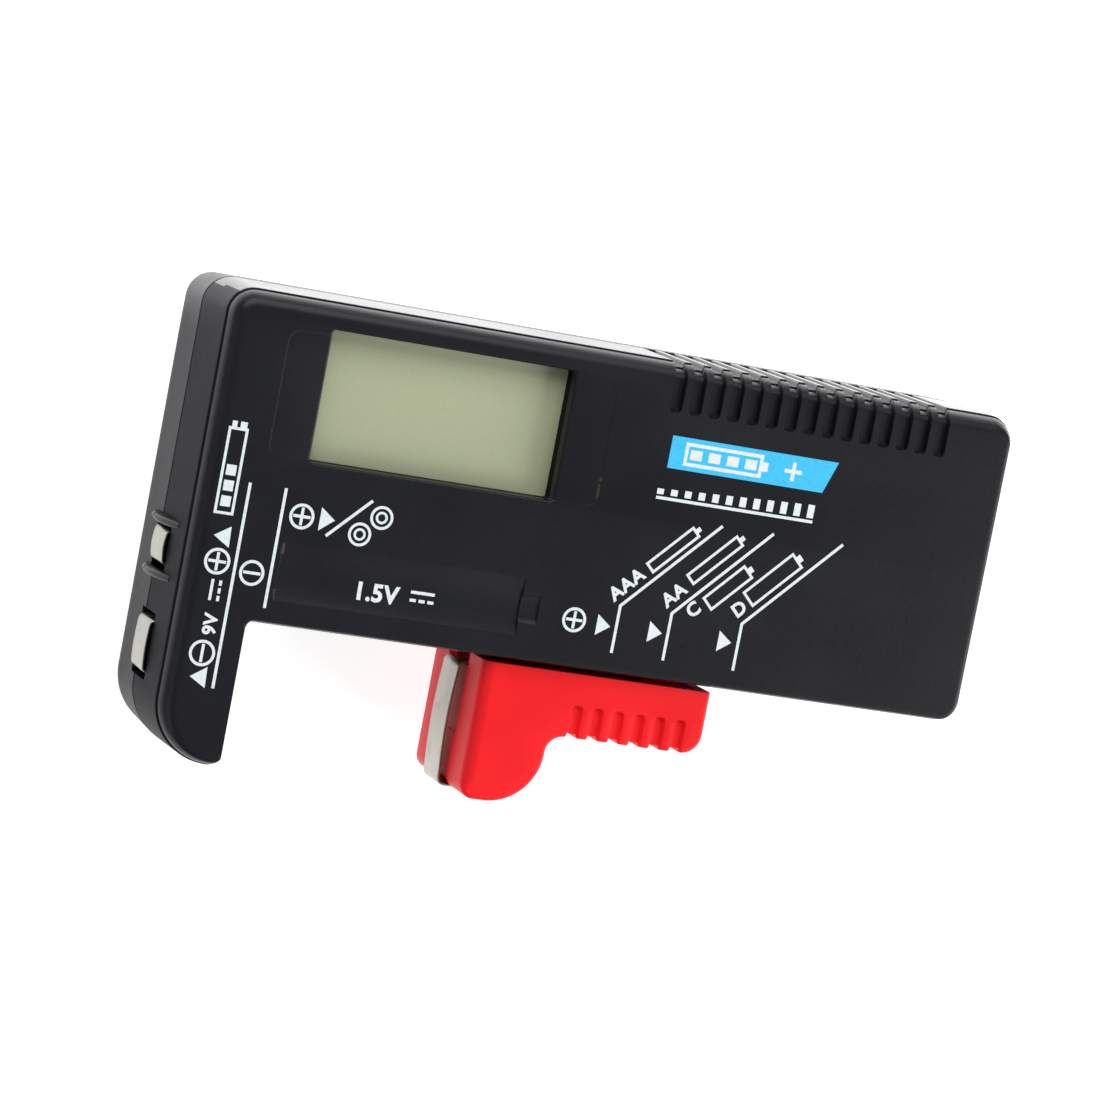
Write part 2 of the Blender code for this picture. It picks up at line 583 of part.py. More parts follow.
def make_display():
    """Model the display: film, two panes, reflector, holder and rubber contact strip."""
    film_low = GLASS_TOP - FILM_THICK
    front_low = film_low - GLASS_THICK
    rear_low = front_low - GLASS_THICK
    gap = 0.02 * MM
    low_x, low_y = GLASS_LOW
    high_x, high_y = GLASS_HIGH
    film = box("display_film", (low_x + 0.6 * MM, low_y + LEDGE, film_low + gap),
               (high_x - 0.6 * MM, high_y - 0.6 * MM, GLASS_TOP), PARTS)
    give(film, (0.40, 0.44, 0.32), 0.25)
    front = box("display_front_glass", (low_x, low_y, front_low + gap), (high_x, high_y, film_low), PARTS)
    give(front, (0.45, 0.5, 0.4), 0.1)
    rear = box("display_rear_glass", (low_x, low_y + LEDGE, rear_low + gap),
               (high_x, high_y, front_low), PARTS)
    give(rear, (0.45, 0.5, 0.4), 0.1)
    back = box("display_reflector", (low_x + 0.5 * MM, low_y + LEDGE + 0.5 * MM, rear_low - FILM_THICK),
               (high_x - 0.5 * MM, high_y - 0.5 * MM, rear_low), PARTS)
    give(back, (0.6, 0.62, 0.55), 0.4, 0.4)
    board_top = BOARD_BACK + BOARD_THICK
    holder = box("display_holder", (low_x - 1.2 * MM, low_y - 1.2 * MM, board_top + GAP / 3),
                 (high_x + 1.2 * MM, high_y + 0.25 * MM, GLASS_TOP - 0.9 * MM), PARTS)
    pocket = box("glass_pocket", (low_x - 0.15 * MM, low_y - 0.15 * MM, rear_low - 0.5 * MM),
                 (high_x + 0.15 * MM, high_y + 1 * MM, GLASS_TOP + 1 * MM))
    boolean(holder, pocket, "DIFFERENCE")
    slit = box("rubber_slit", (low_x + 0.6 * MM, low_y + 0.2 * MM, board_top - 1 * MM),
               (high_x - 0.6 * MM, low_y + LEDGE - 0.3 * MM, GLASS_TOP + 1 * MM))
    boolean(holder, slit, "DIFFERENCE")
    well = box("holder_well", (low_x + 2 * MM, low_y + LEDGE + 1.5 * MM, board_top - 1 * MM),
               (high_x - 2 * MM, high_y - 2 * MM, GLASS_TOP))
    boolean(holder, well, "DIFFERENCE")
    give(holder, (0.7, 0.7, 0.66), 0.5)
    rubber = box("rubber_connector", (low_x + 0.9 * MM, low_y + 0.4 * MM, board_top + 0.03 * MM),
                 (high_x - 0.9 * MM, low_y + LEDGE - 0.5 * MM, front_low - 0.02 * MM), PARTS)
    give(rubber, (0.75, 0.62, 0.6), 0.8)


def make_board():
    """Model the circuit board with the parts soldered to its back."""
    board_top = BOARD_BACK + BOARD_THICK
    board = box("circuit_board", (*BOARD_LOW, BOARD_BACK), (*BOARD_HIGH, board_top), PARTS)
    holes = posts("board_holes", BOARD_SCREWS, 1.2 * MM, BOARD_BACK - 1 * MM, board_top + 1 * MM)
    boolean(board, holes, "DIFFERENCE")
    give(board, (0.02, 0.16, 0.06), 0.45)
    low = BOARD_BACK - 0.04 * MM
    chip = dome("chip_cover", (28.0 * MM, 44.0 * MM), 5.5 * MM, 1.9 * MM, low)
    give(chip, (0.01, 0.01, 0.012), 0.35)
    coil_spot = (45.0 * MM, 47.0 * MM)
    coil = posts("boost_coil", (coil_spot,), 3.0 * MM, low - 4.6 * MM, low, group=PARTS)
    waist = ring_tool("coil_waist", coil_spot, 2.4 * MM, 4.0 * MM, low - 3.8 * MM, low - 0.9 * MM)
    boolean(coil, waist, "DIFFERENCE")
    give(coil, (0.05, 0.045, 0.045), 0.6)
    winding = ring_tool("coil_winding", coil_spot, 2.45 * MM, 2.9 * MM, low - 3.75 * MM,
                        low - 0.95 * MM, PARTS)
    give(winding, (0.5, 0.18, 0.05), 0.35, 0.8)
    can = posts("capacitor", ((37.5 * MM, 48.0 * MM),), 2.1 * MM, low - 5.4 * MM, low, group=PARTS)
    give(can, (0.03, 0.04, 0.12), 0.4)
    for i, spot in enumerate(((38.0 * MM, 33.2 * MM), (38.0 * MM, 36.6 * MM))):
        load = lying_barrel("load_resistor_%d" % (i + 1), spot, 1.2 * MM, 7.0 * MM, low - 1.3 * MM)
        give(load, (0.25, 0.42, 0.6), 0.5)
    make_transistor((49.5 * MM, 39.0 * MM), low)
    spots = ((17.0 * MM, 39.0 * MM), (17.0 * MM, 42.0 * MM), (17.0 * MM, 45.0 * MM),
             (17.0 * MM, 48.0 * MM), (24.0 * MM, 34.0 * MM), (28.0 * MM, 34.0 * MM))
    for i, (x, y) in enumerate(spots):
        chip = box("chip_resistor_%d" % (i + 1), (x, y, low - 0.6 * MM),
                   (x + 2.0 * MM, y + 1.25 * MM, low), PARTS)
        give(chip, (0.03, 0.03, 0.035), 0.5)


def make_transistor(spot, low):
    """Model the transistor: a round body with one flat side, on three legs."""
    x, y = spot
    body = posts("transistor", (spot,), 2.3 * MM, low - 5.0 * MM, low - 1.2 * MM, group=PARTS)
    flat = box("transistor_flat", (x - 4 * MM, y + 1 * MM, 0.0), (x + 4 * MM, y + 5 * MM, DEPTH))
    boolean(body, flat, "DIFFERENCE")
    thin = 0.25 * MM
    pins = []
    for leg in (x - 1.2 * MM, x, x + 1.2 * MM):
        pins.append(((leg - thin, y - 0.4 * MM, low - 1.6 * MM), (leg + thin, y + 0.1 * MM, low)))
    boolean(body, boxes("transistor_legs", pins), "UNION")
    give(body, (0.015, 0.015, 0.015), 0.5)


def dome(name, spot, radius, height, base):
    """Turn a low dome that hangs from the board: an upright rim and a curved crown."""
    bm = bmesh.new()
    rim = 0.15 * height
    profile = [(radius, base), (radius, base - rim)]
    for step in range(1, DOME_STEPS):
        turn = step / DOME_STEPS * math.pi / 2
        profile.append((radius * math.cos(turn), base - rim - (height - rim) * math.sin(turn)))
    rings = []
    for reach, level in profile:
        ring = []
        for i in range(ROUND_STEPS):
            turn = i * math.tau / ROUND_STEPS
            x, y = place(spot[0] + reach * math.cos(turn), spot[1] + reach * math.sin(turn))
            ring.append(bm.verts.new((x, y, level)))
        rings.append(ring)
    for upper, lower in zip(rings, rings[1:]):
        for i in range(ROUND_STEPS):
            j = (i + 1) % ROUND_STEPS
            bm.faces.new((upper[i], upper[j], lower[j], lower[i]))
    bm.faces.new(rings[0])
    bm.faces.new(rings[-1])
    return finish_mesh(bm, name, PARTS)


def ring_tool(name, spot, inner, outer, z_low, z_high, group=TOOLS):
    """Make an upright tube by cutting a thin post from a thick one."""
    tube = posts(name, (spot,), outer, z_low, z_high, group=group)
    core = posts(name + "_core", (spot,), inner, z_low - 1 * MM, z_high + 1 * MM)
    return boolean(tube, core, "DIFFERENCE")


def lying_barrel(name, spot, radius, length, level):
    """Make a resistor that lies along X, with both of its leads bent to the board."""
    bm = bmesh.new()
    made = bmesh.ops.create_cone(bm, cap_ends=True, segments=16, radius1=radius, radius2=radius,
                                 depth=length)["verts"]
    x, y = place(*spot)
    for vert in made:
        vert.co = (x + vert.co.z, y + vert.co.y, level - vert.co.x)
    body = finish_mesh(bm, name, PARTS)
    ends = [spot[0] - length / 2 - 1.2 * MM, spot[0] + length / 2 + 1.2 * MM]
    thin = 0.3 * MM
    lead = box(name + "_lead", (ends[0], spot[1] - thin, level - thin),
               (ends[1], spot[1] + thin, level + thin))
    boolean(body, lead, "UNION")
    legs = boxes(name + "_legs", [((x - thin, spot[1] - thin, level - thin),
                                   (x + thin, spot[1] + thin, BOARD_BACK - 0.04 * MM)) for x in ends])
    return boolean(body, legs, "UNION")


def make_wires():
    """Route the leads from the contact strips and the rail to the board."""
    pad = BOARD_BACK - 0.75 * MM
    red = (0.6, 0.02, 0.02)
    black = (0.015, 0.015, 0.015)
    size = 0.6 * MM
    route = ((4.6 * MM, 11.0 * MM, 9.0 * MM), (5.2 * MM, 16.0 * MM, 7.5 * MM),
             (5.4 * MM, 22.0 * MM, 6.6 * MM), (7.5 * MM, 27.5 * MM, 6.6 * MM),
             (11.0 * MM, 30.2 * MM, 8.6 * MM), (12.4 * MM, 30.8 * MM, pad))
    wire("nine_volt_lead_black", route, size, black)
    route = ((4.4 * MM, 26.0 * MM, 12.0 * MM), (5.6 * MM, 28.6 * MM, 10.5 * MM),
             (8.2 * MM, 31.6 * MM, 9.0 * MM), (11.0 * MM, 33.8 * MM, 9.2 * MM),
             (12.4 * MM, 34.2 * MM, pad))
    wire("nine_volt_lead_red", route, size, red)
    route = ((5.6 * MM, 18.4 * MM, 12.4 * MM), (6.4 * MM, 21.4 * MM, 11.0 * MM),
             (9.0 * MM, 24.6 * MM, 9.8 * MM), (13.2 * MM, 27.2 * MM, 9.6 * MM),
             (15.6 * MM, 28.8 * MM, pad))
    wire("cell_lead_black", route, size, black)
    route = ((15.2 * MM, 25.9 * MM, 9.0 * MM), (16.2 * MM, 27.2 * MM, 8.0 * MM),
             (18.6 * MM, 29.2 * MM, 8.2 * MM), (19.8 * MM, 30.0 * MM, pad))
    wire("cell_lead_red", route, size, red)


def make_screw(name, spot, head, shank, head_levels, tip):
    """Model a self-tapping screw, head down: a pan head, a cross recess and a tapering shank."""
    low, high = head_levels
    taper = 0.8
    screw = posts(name, (spot,), shank, high - 0.4 * MM, tip, top_radius=shank * taper, group=PARTS,
                  segments=14)
    crown = posts(name + "_head", (spot,), head * taper, low, high, top_radius=head, segments=18)
    boolean(screw, crown, "UNION")
    cross = cross_slots(name + "_cross", spot, head * 1.2, low - 1 * MM, low + 0.7 * MM)
    boolean(screw, cross, "DIFFERENCE")
    give(screw, (0.45, 0.45, 0.44), 0.35, 1.0)


def make_screws():
    """Model the case screws in their wells and the board screws."""
    for i, spot in enumerate(CASE_SCREWS):
        make_screw("case_screw_%d" % (i + 1), spot, 2.3 * MM, 1.2 * MM,
                   (4.3 * MM, WELL_DEPTH - 0.05 * MM), 16.5 * MM)
    top = BOARD_BACK - 0.05 * MM
    for i, spot in enumerate(BOARD_SCREWS):
        make_screw("board_screw_%d" % (i + 1), spot, 1.9 * MM, 0.85 * MM,
                   (top - 1.3 * MM, top), 18.0 * MM)


def cross_slots(name, spot, length, z_low, z_high):
    """Make the cross recess of a screw head from two crossed bars."""
    thin = 0.3 * MM
    half = length / 2
    x, y = spot
    along = box(name, (x - half, y - thin, z_low), (x + half, y + thin, z_high))
    across = box(name + "_across", (x - thin, y - half, z_low), (x + thin, y + half, z_high))
    return boolean(along, across, "UNION")


make_front_casing()
make_rear_casing()
make_slider()
make_contacts()
make_display()
make_board()
make_wires()
make_screws()
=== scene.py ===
"""Looks of the pocket battery tester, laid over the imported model.

Lengths inside the shape functions are millimetres on the casing: x from its left end, y from the
foot of its fixed arm, z from its back. Skin.build() turns them into the row frame's metres.
"""
import math

import bmesh
import bpy
import numpy as np
from mathutils import Matrix, Vector
from mathutils.geometry import tessellate_polygon


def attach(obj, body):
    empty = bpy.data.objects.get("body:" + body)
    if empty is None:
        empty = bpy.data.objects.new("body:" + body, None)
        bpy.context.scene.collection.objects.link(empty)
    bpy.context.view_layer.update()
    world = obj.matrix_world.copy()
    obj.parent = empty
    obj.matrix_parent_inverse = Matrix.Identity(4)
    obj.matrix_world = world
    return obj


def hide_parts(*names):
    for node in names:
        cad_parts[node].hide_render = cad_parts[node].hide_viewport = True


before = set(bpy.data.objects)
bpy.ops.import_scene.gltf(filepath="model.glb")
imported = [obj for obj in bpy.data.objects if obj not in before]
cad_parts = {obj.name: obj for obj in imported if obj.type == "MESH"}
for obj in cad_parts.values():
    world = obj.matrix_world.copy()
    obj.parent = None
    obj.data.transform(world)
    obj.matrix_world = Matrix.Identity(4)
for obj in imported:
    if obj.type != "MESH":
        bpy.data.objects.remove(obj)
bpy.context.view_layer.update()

bl_info = {
    "name": "Battery Tester Looks",
    "version": (1, 0, 0),
    "blender": (4, 5, 0),
    "location": "3D View > Sidebar > Tester",
    "description": "Builds the visible surfaces, prints and finishes of a pocket battery tester",
    "category": "Object",
}

MM = 0.001
ORIGIN = np.array((-52.3, -29.4, 0.0))
WELD = 1e-6

# Casing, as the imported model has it.
LENGTH = 106.0
HEIGHT = 58.8
ARM_WIDTH = 9.6
GAP_FLOOR = 18.2
FACE = 23.975
PARTING = 10.9
HALF_GAP = 0.15
DRAFT = 0.3
WALL = 2.0
CEILING = 21.8
CONTACT_LEVEL = 12.3
STRIP_HALF = 3.0
SLOT_Z = (8.2, 14.6)
SLOT_X = (15.6, 101.6)
CONTACT_Z = (9.0, 15.6)
OUTER_SLOTS = ((8.5, 10.4), (14.9, 16.8), (22.1, 23.6), (26.3, 27.7))
INNER_SLOTS = ((3.0, 4.9), (15.1, 16.9))
WINDOW = ((13.3, 38.9), (45.0, 55.2))
SCREW_SPOTS = ((7.2, 46.0), (97.5, 49.5), (97.5, 29.5))

# Sides in order: arm's foot, arm's inner side, lower edge, right end, top edge, left end.
FOOT, INNER, LOWER, RIGHT, TOP, LEFT = range(6)
SIDE_AT = (0.0, ARM_WIDTH, GAP_FLOOR, LENGTH, HEIGHT, 0.0)
# Corners: vertical side, horizontal side, outward x, outward y, bend, first angle, arc steps.
CORNERS = (
    (LEFT, FOOT, -1, -1, 1, 180, 26),
    (INNER, FOOT, 1, -1, 1, 270, 8),
    (INNER, LOWER, 1, -1, -1, 0, 8),
    (RIGHT, LOWER, 1, -1, 1, 270, 14),
    (RIGHT, TOP, 1, 1, 1, 0, 14),
    (LEFT, TOP, -1, 1, 1, 90, 14),
)
OUTER_RADII = (8.0, 1.6, 0.6, 3.2, 3.6, 3.6)
CAVITY_RADII = (6.4, 1.2, 0.6, 3.2, 3.6, 3.6)
LIP_SHARE = np.array((0.8, 0.3, 0.6, 1.0, 1.0, 1.0))
ROLL_SHARE = np.array((0.42, 0.08, 0.22, 0.5, 1.0, 1.0))
LEAST_RADIUS = 0.05

# Grip grooves over the casing's top edge.
GROOVES = 15
GROOVE_PITCH = 2.607
FIRST_GROOVE = 58.65
GROOVE_HALF = 0.75
GROOVE_FOOT = 52.35
GROOVE_CORNER = 0.5
WALL_BLUR = 0.11
SOFT_BLUR = 0.2

# Cell-shaped hollow: x where each end wall runs from 0 to its full share.
BARREL_START = (11.9, 12.15)
BARREL_END = (43.5, 43.3)
CAP_START = (43.2, 43.4)
CAP_END = (45.9, 45.7)

# Slider.
SLIDER_LEFT = 40.8
SLIDER_RIGHT = 71.4
SLIDER_FOOT = 0.3
SLIDER_TOP = 17.8
SLIDER_BACK = 2.5
SLIDER_FRONT = 22.5
LOBE_RIGHT = 50.9
HEEL = 1.7
GRIP_FOOT = 9.6
SLIDER_WALL = 1.8
SCALLOPS = 6
SCALLOP_PITCH = 2.81
FIRST_SCALLOP = 53.95
SCALLOP_HALF = 0.66
SCALLOP_TOP = 13.7
LOBE_RADIUS = 6.9
CROOK_RADIUS = 2.2
GRIP_RADIUS = 2.6
SLIDER_BLOCKS = (
    ((45.2, 10.6, 8.7), (65.6, 21.0, 14.1)),
    ((45.2, 20.7, 6.4), (65.6, 22.2, 16.4)),
    ((57.0, 10.5, 3.6), (58.4, 17.2, 21.4)),
)
RELIEF_END = (46.3, 46.0)
RELIEF_HALF = 3.95
RELIEF_FOOT = 7.2
RELIEF_CORNER = 0.8
RELIEF_DEPTH = 0.55
CHANNEL_DEPTH = 0.35
HOLE_DEPTH = 1.7

# Sunk tab behind the window, with the worn spot on its outline.
TAB_X = (8.0, 50.6)
TAB_Y = (39.0, 54.5)
TAB_CORNER = 1.5
RUB_SPOT = (50.45, 41.2)

# Locating fins and nine volt strips, by their heights up the arm.
FIN_HEIGHTS = (21.6, 28.2)
FIN_SPAN = (6.2, 18.4)
FIN_OUT = 1.39
FIN_ROOT = 1.6
FIN_SINK = 0.3
FIN_BULGE = 1.1
FIN_HALF_CHORD = 6.5
FIN_HALF_THICK = 0.5
NINE_VOLT_STRIPS = (("nine_volt_contact_lower", 9.55, 15.75), ("nine_volt_contact_upper", 23.0, 27.0))
STRIP_NICKEL = (0.42, 0.41, 0.365)

# Resistor rings: place along the body from its middle, colour.
RESISTOR_MIDDLE = 38.0
RESISTOR_RINGS = (
    (-2.2, (0.35, 0.1, 0.02)),
    (-1.1, (0.02, 0.02, 0.02)),
    (0.1, (0.6, 0.03, 0.02)),
    (2.2, (0.6, 0.4, 0.05)),
)

# Stage: floor in metres, where in y its glow rises in millimetres, and the near part's share of it.
FLOOR_SPREAD = (-3.0, 0.0, 3.0)
FLOOR_LEVEL = -0.0001
GLOW_RISE = (22.0, 30.0)
GLOW_SHARE = 0.3
# Soft lights: name, place and size in metres, share of the main power.
SOFT_LIGHTS = (
    ("key_soft_light", (1.0, -0.4, 0.65), (0.9, 0.9), 1.0),
    ("top_soft_light", (-0.1, 0.85, 0.9), (1.2, 0.9), 0.8),
    ("left_soft_light", (-1.0, -0.55, 0.8), (0.7, 0.7), 0.14),
)
CAMERA_SHIFT = (0.0077, 0.0005)
CAMERA_PLACE = (
    (0.92875, -0.14293, -0.34204, -0.17290),
    (0.18763, 0.97701, 0.10122, 0.05216),
    (0.31971, -0.15818, 0.93422, 0.47555),
    (0.0, 0.0, 0.0, 1.0),
)


def length_setting(name, description, default, low, high):
    """Length property whose numbers are given in millimetres."""
    return bpy.props.FloatProperty(name=name, description=description, default=default * MM,
                                   min=low * MM, max=high * MM, unit="LENGTH", precision=6)


def colour_setting(name, description, default):
    """Colour property."""
    return bpy.props.FloatVectorProperty(name=name, description=description, subtype="COLOR", size=3,
                                         min=0.0, max=1.0, default=default)


def amount_setting(name, description, default, unit="NONE"):
    """Property for a strength that can't be negative."""
    return bpy.props.FloatProperty(name=name, description=description, default=default, min=0.0,
                                   unit=unit)


class TesterSizes(bpy.types.PropertyGroup):
    """Sizes of the surface detail."""

    roll: length_setting(
        "Edge roll", "Radius of the rounded edge round the printed face", 1.95, 0.5, 1.95)
    groove_depth: length_setting(
        "Groove depth", "Depth of the grip grooves over the top edge", 0.75, 0.1, 1.2)
    trough_depth: length_setting(
        "Trough depth", "Depth of the cell-shaped hollow in the face", 0.5, 0.1, 1.2)
    scallop_depth: length_setting(
        "Scallop depth", "Depth of the slider's grip scallops", 0.6, 0.1, 1.0)
    ink: length_setting(
        "Ink thickness", "How far the prints stand on the face", 0.022, 0.005, 0.025)


class TesterColours(bpy.types.PropertyGroup):
    """Colours of the mouldings, the display and the inks."""

    casing: colour_setting("Casing", "Black of the moulded casing", (0.0076, 0.0081, 0.0112))
    slider: colour_setting("Slider", "Red of the moulded slider", (0.95, 0.0165, 0.0215))
    film: colour_setting("Display", "Grey green of the blank display", (0.43, 0.465, 0.30))
    blue: colour_setting("Blue ink", "Blue of the label", (0.035, 0.56, 0.95))
    white: colour_setting("White ink", "White of the lines and signs", (0.80, 0.86, 0.90))


class TesterStage(bpy.types.PropertyGroup):
    """Floor, lights and camera."""

    floor: colour_setting("Floor", "Colour of the pale floor", (0.6, 0.6, 0.6))
    power: amount_setting("Light power", "Power of the main soft light", 13.6, "POWER")
    glow: amount_setting("Floor glow", "Light given off by the lit floor", 0.85)
    surround: amount_setting("Surround", "Brightness of the plain surround", 0.2)
    lens: amount_setting("Lens", "Focal length on a 36 mm sensor", 127.98)


class Skin:
    """Gathers grids and flat faces in casing millimetres and welds them into one mesh."""

    def __init__(self):
        self.points = []
        self.faces = []
        self.count = 0

    def add(self, points, faces):
        """Take points and the faces that join them by number."""
        self.faces.extend((np.asarray(faces) + self.count).tolist())
        self.points.append(np.asarray(points, float).reshape(-1, 3))
        self.count += len(self.points[-1])

    def grid(self, points, wrap=False, keep=None):
        """Quads between the neighbours of a (rows, columns, 3) array; wrap closes the rows."""
        rows, columns = points.shape[:2]
        index = np.arange(rows * columns).reshape(rows, columns)
        if wrap:
            index = np.hstack([index, index[:, :1]])
        quads = np.stack([index[:-1, :-1], index[:-1, 1:], index[1:, 1:], index[1:, :-1]], -1)
        quads = quads.reshape(-1, 4) if keep is None else quads[keep]
        self.add(points, quads)

    def fill(self, *loops):
        """Triangles over a flat outline, less the holes that the other loops bound."""
        triangles = tessellate_polygon([[Vector(p) for p in loop] for loop in loops])
        self.add(np.concatenate(loops), triangles)

    def face(self, points):
        """One flat face through the points in order."""
        self.add(points, [list(range(len(points)))])

    def build(self, name, angle=32.0):
        """Weld, face outwards, shade smooth below the angle and return the object."""
        mesh = bpy.data.meshes.new(name)
        points = (np.concatenate(self.points) + ORIGIN) * MM
        mesh.from_pydata(points, [], self.faces)
        bm = bmesh.new()
        bm.from_mesh(mesh)
        bmesh.ops.remove_doubles(bm, verts=bm.verts, dist=WELD)
        bmesh.ops.dissolve_degenerate(bm, edges=bm.edges, dist=WELD)
        bmesh.ops.recalc_face_normals(bm, faces=bm.faces)
        bm.to_mesh(mesh)
        bm.free()
        mesh.shade_smooth()
        mesh.set_sharp_from_angle(angle=math.radians(angle))
        thing = bpy.data.objects.new(name, mesh)
        bpy.context.scene.collection.objects.link(thing)
        return thing


def finish_piece(thing, body, material, nodes=()):
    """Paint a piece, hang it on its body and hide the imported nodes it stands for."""
    thing.data.materials.clear()
    thing.data.materials.append(material)
    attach(thing, body)
    if nodes:
        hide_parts(*nodes)
    return thing


def smooth_step(low, high, values):
    """0 below low and 1 above high, with a cubic between; low may be the larger."""
    share = np.clip((values - low) / (high - low), 0.0, 1.0)
    return share * share * (3.0 - 2.0 * share)


def spread(*runs):
    """One rising array from several, with repeats left out."""
    places = np.sort(np.concatenate([np.atleast_1d(np.asarray(r, float)) for r in runs]))
    return places[np.insert(np.diff(places) > 1e-3, 0, True)]


def joined(*parts):
    """Coordinates put together along a new last axis; plain numbers are spread over the rest."""
    return np.stack(np.broadcast_arrays(*parts), -1)


def comb(first, pitch, count, half):
    """Sample places of a row of equal grooves, crowded at the walls of each."""
    edge = np.array((0.68, 0.76, 0.84, 0.92, 1.0, 1.08, 1.16, 1.24, 1.32))
    shares = np.concatenate([-edge[::-1], (-0.4, 0.0, 0.4), edge])
    return (first + pitch * np.arange(count)[:, None] + half * shares).ravel()


def box_distance(across, along, corner):
    """Distance from a rounded box's outline, given how far a place lies past the centre of the
    nearest corner both ways: the length of what is positive, less the corner radius."""
    outside = np.hypot(np.maximum(across, 0), np.maximum(along, 0))
    return outside + np.minimum(np.maximum(across, along), 0) - corner


def row_of_slots(x, y, first, pitch, count, half, end, turn, corner, blur=WALL_BLUR):
    """Share of full depth in a row of upright slots that end at y = end and run on towards turn.

    Each slot is a rounded box, and a cubic step across its outline makes the wall.
    """
    nearest = first + pitch * np.clip(np.round((x - first) / pitch), 0, count - 1)
    across = np.abs(x - nearest) - (half - corner)
    along = (end + turn * corner - y) * turn
    return smooth_step(blur, -blur, box_distance(across, along, corner))


def groove_share(x, y):
    """Share of full depth of the casing's grip grooves at a place on the face."""
    return row_of_slots(x, y, FIRST_GROOVE, GROOVE_PITCH, GROOVES, GROOVE_HALF, GROOVE_FOOT, 1,
                        GROOVE_CORNER)


def scallop_share(x, y):
    """Share of full depth of the slider's scallops at a place on its front."""
    return row_of_slots(x, y, FIRST_SCALLOP, SCALLOP_PITCH, SCALLOPS, SCALLOP_HALF, SCALLOP_TOP, -1,
                        GROOVE_CORNER, SOFT_BLUR)


def side_samples():
    """Places along each side of the casing's outline, in the order that the ring runs."""
    inner = spread((2.0,), *INNER_SLOTS, (8.0, 12.0))
    lower = spread(SLOT_X, np.arange(12.0, 102.0, 6.0))
    grooves = comb(FIRST_GROOVE, GROOVE_PITCH, GROOVES, GROOVE_HALF)
    top = spread((5.0, 12.0, 20.0, 28.0, 36.0, 44.0, 52.0, 56.5), grooves, (97.0, 99.0, 101.5))
    left = spread(*OUTER_SLOTS, np.arange(31.0, 55.0, 4.0), (12.5, 19.0))
    right = np.arange(22.5, 54.0, 5.0)
    return (), inner, lower, right, top[::-1], left[::-1]


def casing_ring(insets, radii):
    """Outline of the casing, each side drawn in by its own inset, as (n, 2) points.

    A corner is a quarter ellipse whose half axes are its radius less the two insets, or plus
    them on the inner corner, and the places along each side don't depend on the insets.
    """
    parts = []
    samples = side_samples()
    for side, (across, along, out_x, out_y, bend, start, steps) in enumerate(CORNERS):
        radius = radii[side]
        x = SIDE_AT[across] - out_x * insets[across]
        side_y = SIDE_AT[along] - out_y * insets[along]
        reach_x = max(radius - bend * insets[across], LEAST_RADIUS)
        reach_y = max(radius - bend * insets[along], LEAST_RADIUS)
        angle = np.radians(start + bend * np.linspace(0.0, 90.0, steps + 1))
        parts.append(joined(x - bend * out_x * reach_x + bend * reach_x * np.cos(angle),
                            side_y - bend * out_y * reach_y + bend * reach_y * np.sin(angle)))
        places = np.asarray(samples[side], float)
        fixed = SIDE_AT[side] + insets[side] * (1 if side in (FOOT, LOWER, LEFT) else -1)
        level_side = side in (FOOT, LOWER, TOP)
        parts.append(joined(places, fixed) if level_side else joined(fixed, places))
    return np.concatenate(parts)


def casing_rings(inner, outer):
    """Stack outlines into a (rows, n, 3) array: the cavity's rows, then the outer ones.

    A row is (z, base inset) or (z, base inset, lip, roll).
    """
    rings = []
    for rows, radii in ((inner, CAVITY_RADII), (outer, OUTER_RADII)):
        for z, base, *more in rows:
            lip, roll = more or (0.0, 0.0)
            rings.append(at_level(casing_ring(base + lip * LIP_SHARE + roll * ROLL_SHARE, radii), z))
    return np.array(rings)


def near(values, low, high):
    """True for the places from low to high, with a little room."""
    return (values > low - 1e-3) & (values < high + 1e-3)


def open_slots(skin, rings, levels, fold):
    """Lay the casing's wall, leave out the slots that start at the parting and line their sides.

    rings holds the inner rows and then the outer rows; fold is the last inner row. A slot
    leaves out every quad between its inner and its outer end row.
    """
    keep = np.ones((len(rings) - 1, rings.shape[1]), bool)
    outer = rings[fold + 2]
    x, y = outer[:, 0], outer[:, 1]
    slots = [(LOWER, SLOT_X, levels[0]), *((LEFT, pair, levels[1]) for pair in OUTER_SLOTS),
             *((INNER, pair, levels[1]) for pair in INNER_SLOTS)]
    for side, (low, high), level in slots:
        along = x if side == LOWER else y
        beside = {LOWER: near(y, GAP_FLOOR - 0.1, GAP_FLOOR + 0.6) & (x > ARM_WIDTH + 1),
                  LEFT: x < 0.8, INNER: near(x, ARM_WIDTH - 0.6, ARM_WIDTH + 0.1)}[side]
        inside = np.flatnonzero(beside & near(along, low, high))
        rows = np.flatnonzero(np.abs(rings[:, 0, 2] - level) < 1e-6)
        first, last = rows[0], rows[-1]
        keep[first:last, inside[:-1]] = False
        skin.grid(np.stack([rings[first, inside], rings[last, inside]]))
        for end in (inside[0], inside[-1]):
            skin.face(rings[first:last + 1, end])
    skin.grid(rings, wrap=True, keep=keep)


def rounded_loop(low, high, radius, grow=0.0, steps=6):
    """Rounded rectangle grown outwards by grow, as (n, 2) points."""
    turn = np.radians(np.linspace(0.0, 90.0, steps + 1))
    parts = []
    corners = ((high[0], high[1], 1, 1), (low[0], high[1], -1, 1), (low[0], low[1], -1, -1),
               (high[0], low[1], 1, -1))
    for k, (x, y, out_x, out_y) in enumerate(corners):
        angle = turn + k * math.pi / 2
        parts.append(joined(x - out_x * radius + (radius + grow) * np.cos(angle),
                            y - out_y * radius + (radius + grow) * np.sin(angle)))
    return np.concatenate(parts)


def at_level(points, z):
    """Add one height to flat points."""
    return joined(points[:, 0], points[:, 1], z)


